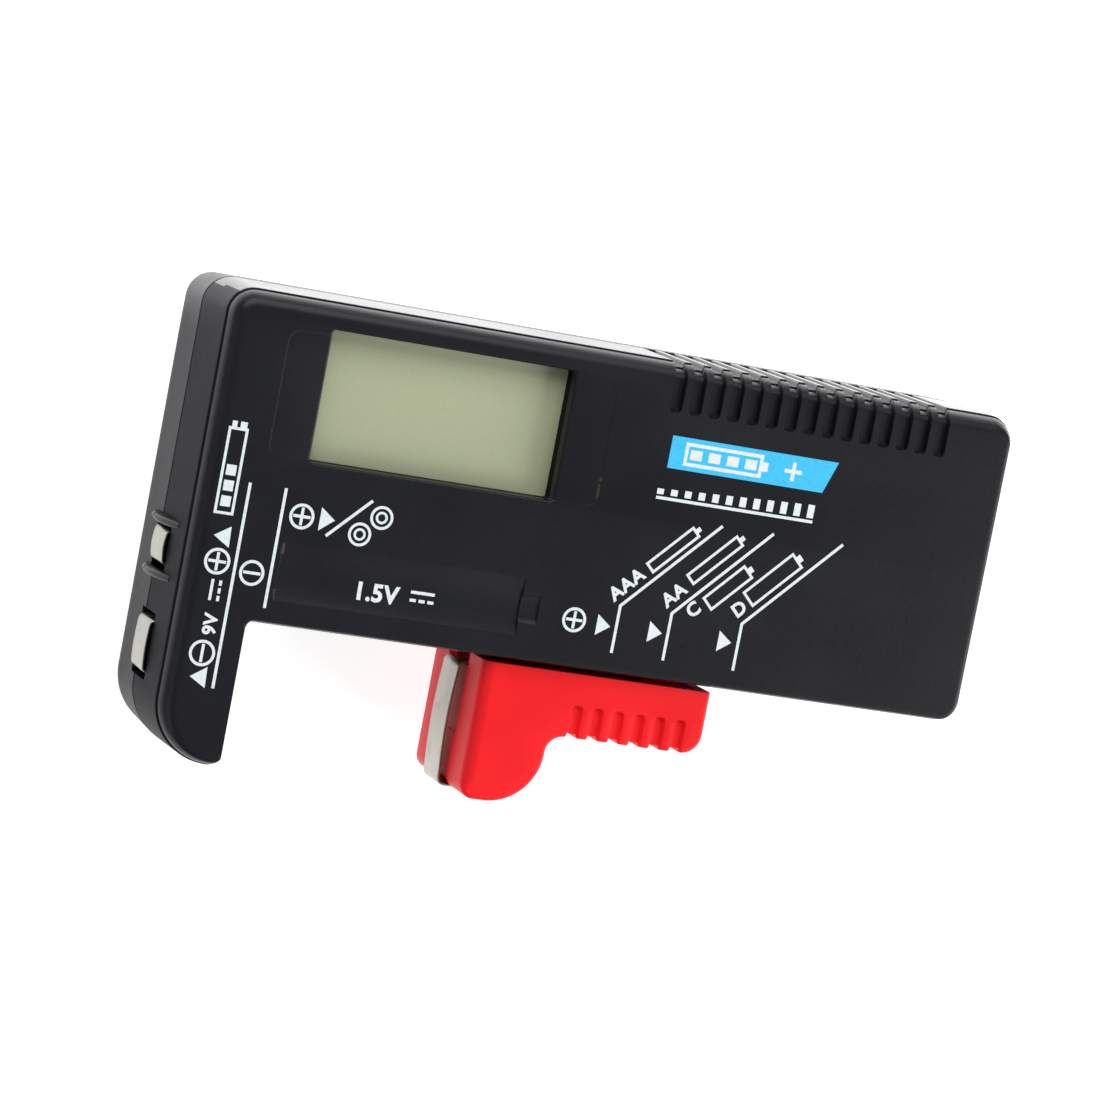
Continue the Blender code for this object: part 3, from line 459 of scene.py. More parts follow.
def trough_depth(x, y, depth):
    """Depth of the cell-shaped hollow: a barrel's parabola, and a narrower one for its cap."""
    barrel = smooth_step(*BARREL_START, x) * smooth_step(*BARREL_END, x)
    barrel = barrel * depth * np.clip(1 - ((y - 25.25) / 3.65) ** 2, 0, 1)
    cap = smooth_step(*CAP_START, x) * smooth_step(*CAP_END, x)
    cap = cap * 0.55 * depth * np.clip(1 - ((y - 25.2) / 1.85) ** 4, 0, 1)
    return np.maximum(barrel, cap)


def lay_grooves(skin, edge, depth):
    """Patch with the grooves on the face, from the wall's last ring down to plain flat face.

    Returns the outline of the flat face, which runs round the patch.
    """
    flat_y = edge[:, 1].max()
    on_top = np.flatnonzero((edge[:, 1] > flat_y - 2.0) & near(edge[:, 0], 56.5, 97.0))
    fine = np.arange(GROOVE_FOOT - 0.3, GROOVE_FOOT + 0.75, 0.05)
    down = spread((51.6,), fine, (53.4, 53.9, 54.6, 55.3), (flat_y,))[::-1]
    x, y = np.meshgrid(edge[on_top, 0], down)
    patch = joined(x, y, FACE - depth * groove_share(x, y))
    skin.grid(patch)
    return np.concatenate([edge[:on_top[0]], patch[:, 0], patch[-1, 1:-1], patch[::-1, -1],
                           edge[on_top[-1] + 1:]])


def lay_hollow(skin, depth):
    """Patch with the cell-shaped hollow; returns its border."""
    cap_walls = (43.1, 43.2, 43.25, 43.3, 43.35, 43.4, 43.5, 43.6,
                 45.6, 45.7, 45.75, 45.8, 45.85, 45.9, 46.0)
    across = spread((11.6, 11.9, 11.95, 12.0, 12.05, 12.1, 12.15, 12.4), np.arange(13.0, 43.0, 1.0),
                    cap_walls, np.arange(44.0, 45.5, 0.3), (46.4,))
    x, y = np.meshgrid(across, spread(np.arange(21.2, 29.45, 0.15)))
    patch = joined(x, y, FACE - trough_depth(x, y, depth))
    skin.grid(patch)
    return np.concatenate([patch[0], patch[1:, -1], patch[-1, -2::-1], patch[-2:0:-1, 0]])


def lay_window(skin):
    """Window well: a rounded brim, a leaning wall, and the collar that holds the glass.

    Returns its outline on the face and the one on the ceiling inside.
    """
    profile = ((0.3, FACE), (0.17, FACE - 0.02), (0.07, FACE - 0.08), (0.015, FACE - 0.18),
               (0.0, FACE - 0.3), (-0.06, 22.5), (-0.12, 21.02), (1.3, 21.02), (1.3, CEILING))
    loops = [at_level(rounded_loop(*WINDOW, 0.5, grow), z) for grow, z in profile]
    skin.grid(np.array(loops), wrap=True)
    return loops[0], loops[-1]


def make_front_casing(sizes, paint):
    """Front half: a wall strip with a small ledge and a rolled edge, patches for the grooves and
    the cell hollow, a rounded window well, flat fills between them, and a plain inner skin."""
    skin = Skin()
    low = PARTING + HALF_GAP
    top = FACE - low
    depth = sizes.groove_depth / MM
    roll = sizes.roll / MM

    def lean(z):
        return DRAFT * (z - low) / top

    inner = [(z, WALL + lean(z)) for z in (CEILING, CONTACT_Z[1], SLOT_Z[1], low)]
    fold = len(inner) - 1
    outer = [(low, 0.1), (low + 0.1, 0.0)]
    outer += [(z, lean(z)) for z in (12.6, SLOT_Z[1], CONTACT_Z[1], 17.6, 19.6, 21.2, 21.8)]
    ledge = FACE - roll
    base = lean(ledge)
    outer += [(ledge - 0.06, base, 0.02, 0.0), (ledge, base, 0.08, 0.0),
              (ledge + 0.005, base, 0.21, 0.0)]
    tilt = [0.0] * (len(inner) + len(outer))
    for turn in np.radians((0, 6, 13, 21, 30, 40, 50, 60, 69, 77, 84, 90)):
        outer.append((ledge + 0.005 + (roll - 0.005) * math.sin(turn), base, 0.24,
                      roll * (1 - math.cos(turn))))
        tilt.append(turn)
    outer.append((FACE, lean(FACE) + 0.4, 0.24, roll))
    tilt.append(math.pi / 2)
    rings = casing_rings(inner, outer)
    share = groove_share(rings[..., 0], rings[..., 1]) * (rings[..., 1] > HEIGHT - 4)
    share[:fold + 1] = 0.0
    tilt = np.array(tilt)[:, None]
    rings[..., 1] -= share * depth * np.cos(tilt)
    rings[..., 2] -= share * depth * np.sin(tilt)
    open_slots(skin, rings, (SLOT_Z[1], CONTACT_Z[1]), fold)

    outline = lay_grooves(skin, rings[-1], depth)
    border = lay_hollow(skin, sizes.trough_depth / MM)
    brim, collar = lay_window(skin)
    skin.fill(outline, border, brim)
    skin.fill(rings[0], collar)
    thing = skin.build("front_casing_skin")
    return finish_piece(thing, "casing", paint, ["front_casing"])


def screw_well(spot, steps=32):
    """Turned well of a case screw: chamfered mouth, seat, clearance hole and the post round it."""
    profile = ((2.85, 0.0), (2.6, 0.25), (2.6, 5.9), (2.5, 6.0), (1.6, 6.0), (1.6, 10.4),
               (3.5, 10.4), (3.6, 10.3), (3.6, WALL))
    turn = np.linspace(0.0, math.tau, steps, endpoint=False)
    rings = []
    for radius, z in profile:
        rings.append(joined(spot[0] + radius * np.cos(turn), spot[1] + radius * np.sin(turn), z))
    return np.array(rings)


def make_rear_casing(paint):
    """Rear half: a wall strip with a rounded back edge, a flat back with three screw wells."""
    skin = Skin()
    high = PARTING - HALF_GAP
    radius = 1.2

    def lean(z):
        return DRAFT * (high - z) / high

    inner = [(z, WALL + lean(z)) for z in (WALL, SLOT_Z[0], CONTACT_Z[0], high)]
    fold = len(inner) - 1
    outer = [(high, 0.1), (high - 0.1, 0.0)]
    outer += [(z, lean(z)) for z in (CONTACT_Z[0], SLOT_Z[0], 5.0, 2.6, radius)]
    outer += [(radius * (1 - math.sin(turn)), DRAFT + radius * (1 - math.cos(turn)))
              for turn in np.radians((15, 30, 45, 60, 75, 90))]
    outer.append((0.0, DRAFT + radius + 0.4))
    rings = casing_rings(inner, outer)
    open_slots(skin, rings, (SLOT_Z[0], CONTACT_Z[0]), fold)
    wells = [screw_well(spot) for spot in SCREW_SPOTS]
    for well in wells:
        skin.grid(well, wrap=True)
    skin.fill(rings[-1], *(well[0] for well in wells))
    skin.fill(rings[0], *(well[-1] for well in wells))
    thing = skin.build("rear_casing_skin")
    return finish_piece(thing, "casing", paint, ["rear_casing"])


def make_fins(paint):
    """Two locating fins on the arm, each parted like the casing: a flat slice of a disc whose
    reach follows a circle through its three known points, with a half-round rim."""
    skin = Skin()
    sag = FIN_OUT + FIN_SINK
    radius = (FIN_HALF_CHORD ** 2 + sag ** 2) / (2 * sag)
    section = np.radians(np.linspace(-90, 90, 13))
    for height in FIN_HEIGHTS:
        for low, high in ((FIN_SPAN[0], PARTING - HALF_GAP), (PARTING + HALF_GAP, FIN_SPAN[1])):
            z = np.linspace(low, high, 24)
            reach = np.sqrt(radius ** 2 - (z - CONTACT_LEVEL) ** 2) - radius + FIN_OUT
            x = FIN_BULGE - FIN_BULGE * np.cos(section) ** 0.7 - reach[:, None]
            rim = joined(x, height + FIN_HALF_THICK * np.sin(section), z[:, None])
            before, after = (joined(FIN_ROOT, height + way * FIN_HALF_THICK, z)[:, None]
                             for way in (-1, 1))
            loop = np.concatenate([before, rim, after], 1)
            skin.grid(loop, wrap=True)
            skin.face(loop[0])
            skin.face(loop[-1])
    return finish_piece(skin.build("locating_fins"), "casing", paint)


def slider_outline():
    """Open outline of the slider from its top left round its foot to its top right.

    Returns (n, 2) points and (n, 2) outward directions: straight runs joined by quarter arcs.
    """
    left = spread((17.79, SLIDER_TOP), np.arange(14.8, 17.8, 0.1), np.arange(8.4, 14.8, 0.8),
                  np.arange(6.6, 8.4, 0.1), (2.4, 3.2, 4.0, 5.0, 6.0))[::-1]
    foot = spread(np.arange(42.7, 43.9, 0.2))
    grip = comb(FIRST_SCALLOP, SCALLOP_PITCH, SCALLOPS, SCALLOP_HALF)
    grip = grip[(grip > LOBE_RIGHT + CROOK_RADIUS + 0.05) & (grip < SLIDER_RIGHT - GRIP_RADIUS - 0.05)]
    right = np.array((12.6, 14.0, 15.5, 17.0, SLIDER_TOP))

    def arc(x, y, radius, start, turn, steps):
        angle = np.radians(np.linspace(start, start + turn, steps + 1))
        sign = 1.0 if turn > 0 else -1.0
        out = joined(np.cos(angle), np.sin(angle))
        return np.array((x, y)) + sign * radius * out, out

    def run(places, x, y, out):
        flat = joined(places, y) if x is None else joined(x, places)
        return flat, np.tile(np.array(out, float), (len(places), 1))

    parts = (
        run(left, SLIDER_LEFT, None, (-1, 0)),
        arc(SLIDER_LEFT + HEEL, SLIDER_FOOT + HEEL, HEEL, 180, 90, 14),
        run(foot, None, SLIDER_FOOT, (0, -1)),
        arc(LOBE_RIGHT - LOBE_RADIUS, SLIDER_FOOT + LOBE_RADIUS, LOBE_RADIUS, 270, 90, 36),
        arc(LOBE_RIGHT + CROOK_RADIUS, GRIP_FOOT - CROOK_RADIUS, CROOK_RADIUS, 0, -90, 14),
        run(grip, None, GRIP_FOOT, (0, -1)),
        arc(SLIDER_RIGHT - GRIP_RADIUS, GRIP_FOOT + GRIP_RADIUS, GRIP_RADIUS, 270, 90, 16),
        run(right, SLIDER_RIGHT, None, (1, 0)),
    )
    return np.concatenate([p for p, _ in parts]), np.concatenate([o for _, o in parts])


def end_relief(y, z, on_end):
    """Depth of the slider's end detail: a wide relief with round feet, the strip's channel in it
    and the hole at its top, each a box whose walls are cubic steps."""
    off = np.abs(z - CONTACT_LEVEL)
    across = off - (RELIEF_HALF - RELIEF_CORNER)
    along = (RELIEF_FOOT + RELIEF_CORNER) - y
    relief = smooth_step(0.1, -0.1, box_distance(across, along, RELIEF_CORNER))
    relief = relief * RELIEF_DEPTH * on_end
    channel = smooth_step(3.45, 3.25, off)
    hole = smooth_step(15.75, 15.95, y) * smooth_step(2.7, 2.5, off) * on_end
    return np.maximum(np.maximum(relief, CHANNEL_DEPTH * channel), HOLE_DEPTH * hole)


def rounded_block(skin, low, high, edge=0.15):
    """Closed box with chamfered edges: rounded rectangles carried up y between two flat ends."""
    loops = []
    for y, grow in ((low[1], -edge), (low[1] + edge, 0.0), (high[1] - edge, 0.0), (high[1], -edge)):
        loop = rounded_loop((low[0], low[2]), (high[0], high[2]), 2 * edge, grow, 3)
        loops.append(joined(loop[:, 0], y, loop[:, 1]))
    skin.grid(np.array(loops), wrap=True)
    skin.fill(loops[0])
    skin.fill(loops[-1])


def lay_slider_front(skin, last, on_foot, depth):
    """Front plate: a patch with the scallops over the grip, and flat face round it."""
    x = last[on_foot, 0]
    foot = last[on_foot, 1]
    rise = spread((0.0, 0.6, 1.4, 2.2), np.arange(2.6, 4.1, 0.06), (4.4,))
    y = foot + rise[:, None] * (GRIP_FOOT + 5.0 - foot) / 4.4
    patch = joined(x, y, SLIDER_FRONT - depth * scallop_share(x, y))
    skin.grid(patch)
    skin.fill(np.concatenate([last[:on_foot[0]], patch[:, 0], patch[-1, 1:-1], patch[::-1, -1],
                              last[on_foot[-1] + 1:]]))


def lay_slider_hollow(skin, inner, grid):
    """Hollow: the drawn-in outline between the front and back plates' inner faces, and the rim
    that joins it to the outer skin."""
    inside = np.stack([at_level(inner, SLIDER_BACK + SLIDER_WALL),
                       at_level(inner, SLIDER_FRONT - SLIDER_WALL)])
    skin.grid(inside)
    skin.fill(inside[0])
    skin.fill(inside[1])
    rims = [np.concatenate([sheet[:, 0], sheet[::-1, -1]]) for sheet in (grid, inside)]
    skin.fill(*rims)


def make_slider(sizes, paint):
    """Slider: its outline carried from the back to the front over rounded edges, pressed in by
    the scallops and by the end relief, with flat front and back, a hollow, a stem and a rib."""
    skin = Skin()
    depth = sizes.scallop_depth / MM
    points, out = slider_outline()
    x, y = points.T
    on_left = (x < SLIDER_LEFT + HEEL) & (y > SLIDER_FOOT)
    back = 0.5
    softness = 0.55 + 0.95 * np.where(on_left, smooth_step(0.6, 3.2, y), 0.0)
    walls = (8.35, 8.25, 8.45, 8.55, 8.8, 8.95, 9.05, 9.15, 9.6, 9.8, 9.9, 10.2)
    mirrored = tuple(2 * CONTACT_LEVEL - z for z in walls)
    z_wall = spread((SLIDER_BACK + back, 5.0, 7.4), walls, (11.2, CONTACT_LEVEL, 13.4), mirrored,
                    (17.4, 19.4, 20.9))
    turns = np.radians((0, 11, 22, 33, 45, 57, 68, 79, 90))
    rows = [(SLIDER_BACK + back * (1 - math.sin(t)), back * (1 - math.cos(t)), -t)
            for t in np.radians((90, 60, 30))]
    rows += [(z, 0.0, 0.0) for z in z_wall]
    rows += [(SLIDER_FRONT - softness * (1 - math.sin(t)), softness * (1 - math.cos(t)), t)
             for t in turns]
    z, pull = (np.array([np.broadcast_to(row[k], x.shape) for row in rows]) for k in (0, 1))
    tilt = np.array([row[2] for row in rows])[:, None]
    base_x = x - out[:, 0] * pull
    base_y = y - out[:, 1] * pull
    on_grip = y < GRIP_FOOT + 0.01
    on_grip &= (x > LOBE_RIGHT + CROOK_RADIUS - 0.05) & (x < SLIDER_RIGHT - GRIP_RADIUS + 0.05)
    press = depth * scallop_share(x, GRIP_FOOT) * on_grip
    relief = end_relief(y, z, (x < SLIDER_LEFT + 0.01).astype(float)) * smooth_step(*RELIEF_END, x)
    pressed = press + relief * (tilt == 0.0)
    grid = joined(base_x - out[:, 0] * pressed * np.cos(tilt),
                  base_y - out[:, 1] * pressed * np.cos(tilt), z - press * np.sin(tilt))
    skin.grid(grid)

    lay_slider_front(skin, grid[-1], np.flatnonzero(on_grip), depth)
    skin.fill(grid[0])
    lay_slider_hollow(skin, points - out * SLIDER_WALL, grid)
    for low, high in SLIDER_BLOCKS:
        rounded_block(skin, low, high)
    thing = skin.build("slider_skin")
    return finish_piece(thing, "slider", paint, ["slider"])


def smooth_path(knots, steps=10):
    """Catmull-Rom curve through the knots: on each span the cubic that passes both ends with the
    neighbours' half chord as its slope."""
    knots = np.asarray(knots, float)
    ends = np.vstack([2 * knots[0] - knots[1], knots, 2 * knots[-1] - knots[-2]])
    t = np.linspace(0, 1, steps, endpoint=False)[None, :, None]
    a, b, c, d = (ends[i:len(ends) - 3 + i, None] for i in range(4))
    curve = (2 * b + (c - a) * t + (2 * a - 5 * b + 4 * c - d) * t ** 2
             + (3 * b - a - 3 * c + d) * t ** 3) / 2
    return np.vstack([curve.reshape(-1, knots.shape[1]), knots[-1]])


def bent_strip(name, knots, paint, body, nodes, half=STRIP_HALF, thick=0.3):
    """Metal strip: a rounded thin section carried along a smooth path in plan.

    knots are (x, y, middle height, half width); the section is a flat oval whose corners are
    quarter circles, set across the path's normal.
    """
    path = smooth_path([(*k[:2], k[2] if len(k) > 2 else CONTACT_LEVEL, k[3] if len(k) > 3 else half)
                        for k in knots])
    keep = np.insert(np.hypot(*np.diff(path[:, :2], axis=0).T) > 1e-4, 0, True)
    path = path[keep]
    slope = np.gradient(path[:, :2], axis=0)
    slope /= np.hypot(*slope.T)[:, None]
    normal = joined(slope[:, 1], -slope[:, 0])
    corner = 0.09
    turn = np.radians(np.linspace(0, 90, 4))
    quarter = joined(np.cos(turn), np.sin(turn)) * corner
    signs = np.array(((1, 1), (-1, 1), (-1, -1), (1, -1)), float)
    section_n, section_z = [], []
    for k, (sn, sz) in enumerate(signs):
        q = quarter if k % 2 == 0 else quarter[::-1]
        section_n.append(sn * (thick / 2 - corner + q[:, 0]))
        section_z.append(joined(sz, sz * (q[:, 1] - corner)))
    across = np.concatenate(section_n)
    up = np.concatenate(section_z)
    flat = path[:, None, :2] + normal[:, None] * across[None, :, None]
    height = path[:, 2:3] + path[:, 3:4] * up[None, :, 0] + up[None, :, 1]
    tube = np.dstack([flat, height])
    skin = Skin()
    skin.grid(tube, wrap=True)
    skin.face(tube[0])
    skin.face(tube[-1])
    return finish_piece(skin.build(name, 50.0), body, paint, nodes)


def arch(x_end, x_top, low, high, steps=7):
    """Knots of a shallow bow: half a sine wave from low to high."""
    share = np.linspace(0, 1, steps)
    return [(x_end + (x_top - x_end) * math.sin(math.pi * s), low + (high - low) * s) for s in share]


def make_contacts(paint):
    """The two nine volt strips, the arm's strip and the slider's strip with its wiper."""
    for name, low, high in NINE_VOLT_STRIPS:
        knots = [(2.9, low - 1.5), (2.6, low - 0.35), (1.2, low - 0.15), (0.3, low - 0.05),
                 (-0.12, low + 0.2), *arch(-0.24, -0.34, low + 0.7, high - 0.7),
                 (-0.12, high - 0.2), (0.3, high + 0.05),
                 (1.2, high + 0.15), (2.6, high + 0.35), (2.9, high + 1.5)]
        bent_strip(name + "_strip", knots, paint, "casing", [name], 2.95)
    knots = [(6.7, 2.9), (6.8, 3.9), (8.4, 4.1), *arch(9.8, 11.05, 4.5, 15.6), (8.4, 16.0),
             (6.9, 16.2), (6.7, 18.4)]
    bent_strip("fixed_contact_strip", knots, paint, "casing", ["fixed_contact"])
    stand = SLIDER_LEFT - 0.8
    level, narrow = 11.4, 2.3
    finger = ((43.6, 16.5), (44.2, 16.9), (44.5, 18.0), (44.5, 20.5), (44.6, 22.4), (45.8, 23.0),
              (49.5, 24.2), (52.5, 24.4), (55.5, 23.7))
    knots = [(46.0, 0.46), (44.0, 0.45), (42.0, 0.45), (41.0, 0.46), (40.45, 0.58), (40.15, 0.9),
             (stand + 0.02, 1.4), *arch(stand, SLIDER_LEFT - 1.08, 2.0, 15.2, 9),
             (stand + 0.05, 15.7), (stand + 0.4, 16.1), (41.0, 16.3), (42.4, 16.45),
             *((x, y, level, narrow) for x, y in finger)]
    bent_strip("slider_contact_strip", knots, paint, "slider", ["slider_contact"])


class Print:
    """Flat ink shapes on the face: every shape is a thin closed slab that follows the face."""

    def __init__(self, sizes):
        self.skin = Skin()
        self.ink = sizes.ink / MM
        self.depth = sizes.trough_depth / MM
        self.low = 0.0
        self.high = self.ink

    def layer(self, low, high):
        """Set the shares of the ink's thickness between which the next shapes lie."""
        self.low, self.high = low * self.ink, high * self.ink
        return self

    def sheets(self, flat):
        """Flat points lifted to the ink's top and to its underside, just inside the face."""
        face = FACE - trough_depth(flat[..., 0], flat[..., 1], self.depth)
        heights = (face + self.high, face + self.low - 0.01)
        return [np.concatenate([flat, z[..., None]], -1) for z in heights]

    def slab(self, grid, closed=False):
        """Closed slab over a (rows, columns, 2) grid: top and bottom sheets and the rim.

        closed joins the last column to the first, for outlines that run round.
        """
        top, bottom = self.sheets(grid)
        self.skin.grid(top, wrap=closed)
        self.skin.grid(bottom, wrap=closed)
        edges = [np.s_[0], np.s_[-1]] if closed else [np.s_[0], np.s_[-1], np.s_[:, 0], np.s_[:, -1]]
        for edge in edges:
            self.skin.grid(np.stack([top[edge], bottom[edge]]), wrap=closed)

    def bar(self, start, end, width=0.38):
        """Straight line of ink with square ends."""
        start, end = np.array(start, float), np.array(end, float)
        ahead = (end - start) / np.hypot(*(end - start))
        side = np.array((-ahead[1], ahead[0])) * width / 2
        share = np.linspace(0, 1, 4)[:, None]
        line = start + (end - start) * share
        self.slab(np.stack([line - side, line + side], 1))

    def path(self, points, width=0.38, closed=False):
        """Line of ink through several points: both edges offset along the mitre of each corner."""
        points = np.array(points, float)
        ahead = np.roll(points, -1, 0) - points
        ahead /= np.hypot(*ahead.T)[:, None]
        side = joined(-ahead[:, 1], ahead[:, 0])
        before = np.roll(side, 1, 0)
        if not closed:
            before[0] = side[0]
            side[-1] = before[-1]
        middle = before + side
        offset = middle / (before * middle).sum(1)[:, None] * width / 2
        self.slab(np.stack([points - offset, points + offset]), closed)

    def hoop(self, centre, radius, width=0.36, steps=48):
        """Ring of ink: a circle carried between two radii."""
        turn = np.linspace(0, math.tau, steps, endpoint=False)
        way = joined(np.cos(turn), np.sin(turn))
        radii = np.array((radius - width / 2, radius + width / 2))
        self.slab(np.array(centre) + way[None] * radii[:, None, None], True)

    def frame(self, low, high, turn=0.0, at=(0.0, 0.0), width=0.34):
        """Outline of a rectangle, turned and moved to the point at."""
        corners = [(low[0], low[1]), (high[0], low[1]), (high[0], high[1]), (low[0], high[1])]
        self.path(turned(corners, turn, at), width, True)

    def triangle(self, a, b, c):
        """Filled triangle: two of its sides joined by straight lines."""
        a, b, c = (np.array(p, float) for p in (a, b, c))
        share = np.linspace(0.002, 1, 3)[:, None]
        self.slab(np.stack([a + (b - a) * share, a + (c - a) * share], 1))

    def cross(self, centre, reach, width):
        """Upright cross: one bar and two short bars that meet its sides."""
        x, y = centre
        self.bar((x, y - reach), (x, y + reach), width)
        for way in (-1, 1):
            self.bar((x + way * width / 2, y), (x + way * reach, y), width)

    def sign(self, centre, radius, kind):
        """Ringed sign: a cross, or a bar that runs along x or along y."""
        self.hoop(centre, radius)
        reach = radius * 0.78
        x, y = centre
        if kind == "cross":
            self.cross(centre, reach, 0.36)
        elif kind == "along":
            self.bar((x - reach, y), (x + reach, y), 0.36)
        else:
            self.bar((x, y - reach), (x, y + reach), 0.36)

    def words(self, text, at, size, turn, bold=0.035):
        """Plain figures and letters, from the middle of their foot, in the direction of turn."""
        curve = bpy.data.curves.new("figures", "FONT")
        curve.body = text
        curve.size = size
        curve.offset = bold * size
        curve.resolution_u = 3
        curve.space_character = 1.06
        carrier = bpy.data.objects.new("figures", curve)
        bpy.context.scene.collection.objects.link(carrier)
        bpy.context.view_layer.update()
        shaped = carrier.evaluated_get(bpy.context.evaluated_depsgraph_get())
        mesh = bpy.data.meshes.new_from_object(shaped)
        bm = bmesh.new()
        bm.from_mesh(mesh)
        bmesh.ops.remove_doubles(bm, verts=bm.verts, dist=1e-5)
        bmesh.ops.triangulate(bm, faces=bm.faces)
        long_edges = [e for e in bm.edges if e.calc_length() > 0.8]
        bmesh.ops.subdivide_edges(bm, edges=long_edges, cuts=2)
        bmesh.ops.triangulate(bm, faces=bm.faces)
        flat = turned([v.co[:2] for v in bm.verts], turn, at)
        faces = np.array([[v.index for v in f.verts] for f in bm.faces])
        rim = np.array([[v.index for v in e.verts] for e in bm.edges if len(e.link_faces) == 1])
        bm.free()
        bpy.data.objects.remove(carrier)
        bpy.data.meshes.remove(mesh)
        bpy.data.curves.remove(curve)
        sheets = np.vstack(self.sheets(flat))
        self.skin.add(sheets, np.vstack([faces, faces[:, ::-1] + len(flat)]))
        self.skin.add(sheets, np.column_stack([rim, rim[:, ::-1] + len(flat)]))


def turned(points, degrees, at):
    """Turn points by an angle and move them to a place."""
    angle = math.radians(degrees)
    spin = np.array(((math.cos(angle), math.sin(angle)), (-math.sin(angle), math.cos(angle))))
    return np.asarray(points, float) @ spin + np.array(at, float)


def cell_sign(ink, at, turn, length, height):
    """Outline of a round cell lying along turn, with its cap at the far end."""
    ink.frame((0, 0), (length, height), turn, at)
    cap = turned([(length + 0.17, height / 2), (length + 0.75, height / 2)], turn, at)
    ink.bar(*cap, height * 0.45)


def make_prints(sizes, white, blue):
    """White lines, signs, sizes and pictures, and the blue label with its gauge."""
    ink = Print(sizes)
    ink.bar((6.5, 10.0), (6.5, 35.4))
    ink.bar((11.05, 20.6), (11.05, 35.4))
    ink.sign((13.6, 32.3), 1.4, "cross")
    ink.triangle((17.8, 32.4), (15.9, 33.8), (15.9, 30.9))
    ink.bar((17.0, 30.4), (22.1, 35.5))
    for x, y in ((21.2, 31.2), (23.6, 33.6)):
        ink.hoop((x, y), 1.3, 0.34)
        ink.hoop((x, y), 0.62, 0.3)
    ink.sign((8.7, 24.6), 1.4, "along")
    ink.sign((4.2, 25.4), 1.45, "cross")
    ink.triangle((3.2, 28.5), (5.2, 29.8), (5.3, 27.2))
    ink.words("9V", (5.5, 16.4), 2.3, 90)
    ink.bar((4.1, 20.6), (4.1, 23.2), 0.36)
    for y in (20.6, 21.55, 22.5):
        ink.bar((5.1, y), (5.1, y + 0.65), 0.36)
    ink.sign((4.4, 14.1), 1.45, "up")
    ink.triangle((3.4, 11.1), (5.4, 12.5), (5.5, 9.9))
    ink.frame((2.8, 31.3), (4.95, 41.6))
    for x, width in ((3.3, 0.62), (4.45, 0.85)):
        ink.bar((x, 41.77), (x, 42.5), width)
    for y in (32.1, 34.0, 35.9):
        ink.bar((3.87, y), (3.87, y + 1.3), 1.25)
    ink.words("1.5V", (21.9, 23.3), 3.0, 0)
    ink.bar((29.2, 25.1), (32.3, 25.1), 0.38)
    for x in (29.2, 30.35, 31.5):
        ink.bar((x, 24.1), (x + 0.8, 24.1), 0.38)
    ink.sign((50.7, 24.7), 1.4, "cross")
    for x, y in ((55.6, 24.5), (62.6, 24.6), (72.1, 24.7)):
        ink.triangle((x, y), (x - 1.85, y + 1.35), (x - 1.85, y - 1.3))
    for x, top in ((56.4, 67.9), (63.4, 74.95), (73.03, 84.6)):
        bend = 27.3
        ink.path([(x, 21.25), (x, bend), (top, bend + (top - x) * 1.03)])
    slant = 45.8
    cells = (
        ("AAA", (55.5, 27.7), (59.85, 32.1), 7.4, 1.35),
        ("AA", (62.6, 27.9), (65.5, 31.4), 8.0, 1.4),
        ("C", (66.1, 27.0), (68.55, 28.55), 6.6, 1.8),
        ("D", (72.2, 27.9), (74.0, 29.8), 8.0, 2.1),
    )
    for name, at, cell_at, length, height in cells:
        ink.words(name, at, 2.45, slant)
        cell_sign(ink, cell_at, slant, length, height)
    for k in range(12):
        x = 58.75 + k * 1.87
        ink.bar((x, 41.9), (x, 42.6 + 0.09 * k), 0.9)
    ink.bar((58.3, 41.45), (79.8, 41.45), 0.38)
    ink.layer(0.55, 1.0)
    ink.frame((61.2, 46.1), (71.4, 48.6), width=0.45)
    ink.bar((71.63, 47.35), (72.4, 47.35), 1.2)
    for k in range(4):
        ink.bar((62.55 + k * 2.5, 46.72), (62.55 + k * 2.5, 47.98), 1.6)
    ink.cross((75.9, 47.35), 1.2, 0.5)
    finish_piece(ink.skin.build("white_prints"), "casing", white)
    label = Print(sizes).layer(0.0, 0.5)
    label.slab(np.array((((59.0, 45.3), (59.0, 49.4)), ((80.35, 45.3), (81.85, 49.4)))))
    finish_piece(label.skin.build("blue_label"), "casing", blue)


def maths(operation, swapped=False):
    """Method that adds one Math node; swapped puts the other value first."""
    def method(self, *others):
        terms = (*others, self) if swapped else (self, *others)
        return self.finish.node("Math", {"operation": operation}, dict(enumerate(terms))).value()
    return method


class Value:
    """One number at every point of a surface; the operators add Math nodes."""

    def __init__(self, finish, socket):
        self.finish = finish
        self.socket = socket

    __add__ = __radd__ = maths("ADD")
    __mul__ = __rmul__ = maths("MULTIPLY")
    __sub__ = maths("SUBTRACT")
    __rsub__ = maths("SUBTRACT", swapped=True)
    __truediv__ = maths("DIVIDE")
    __pow__ = maths("POWER")
    __abs__ = maths("ABSOLUTE")
    most = maths("MAXIMUM")
    least = maths("MINIMUM")
    sine = maths("SINE")

    def ramp(self, low, high, start=0.0, end=1.0):
        """Smooth change from start to end as the value goes from low to high."""
        sockets = {"Value": self, "From Min": low, "From Max": high, "To Min": start, "To Max": end}
        return self.finish.node("MapRange", {"interpolation_type": "SMOOTHSTEP"}, sockets).value()


class Made:
    """A node that was added, with its outputs as values."""

    def __init__(self, finish, node):
        self.finish = finish
        self.node = node

    def value(self, output=0):
        """One output as a number to calculate with."""
        return Value(self.finish, self.node.outputs[output])

    def out(self, output=0):
        """One output as it is, for colours and directions."""
        return self.node.outputs[output]


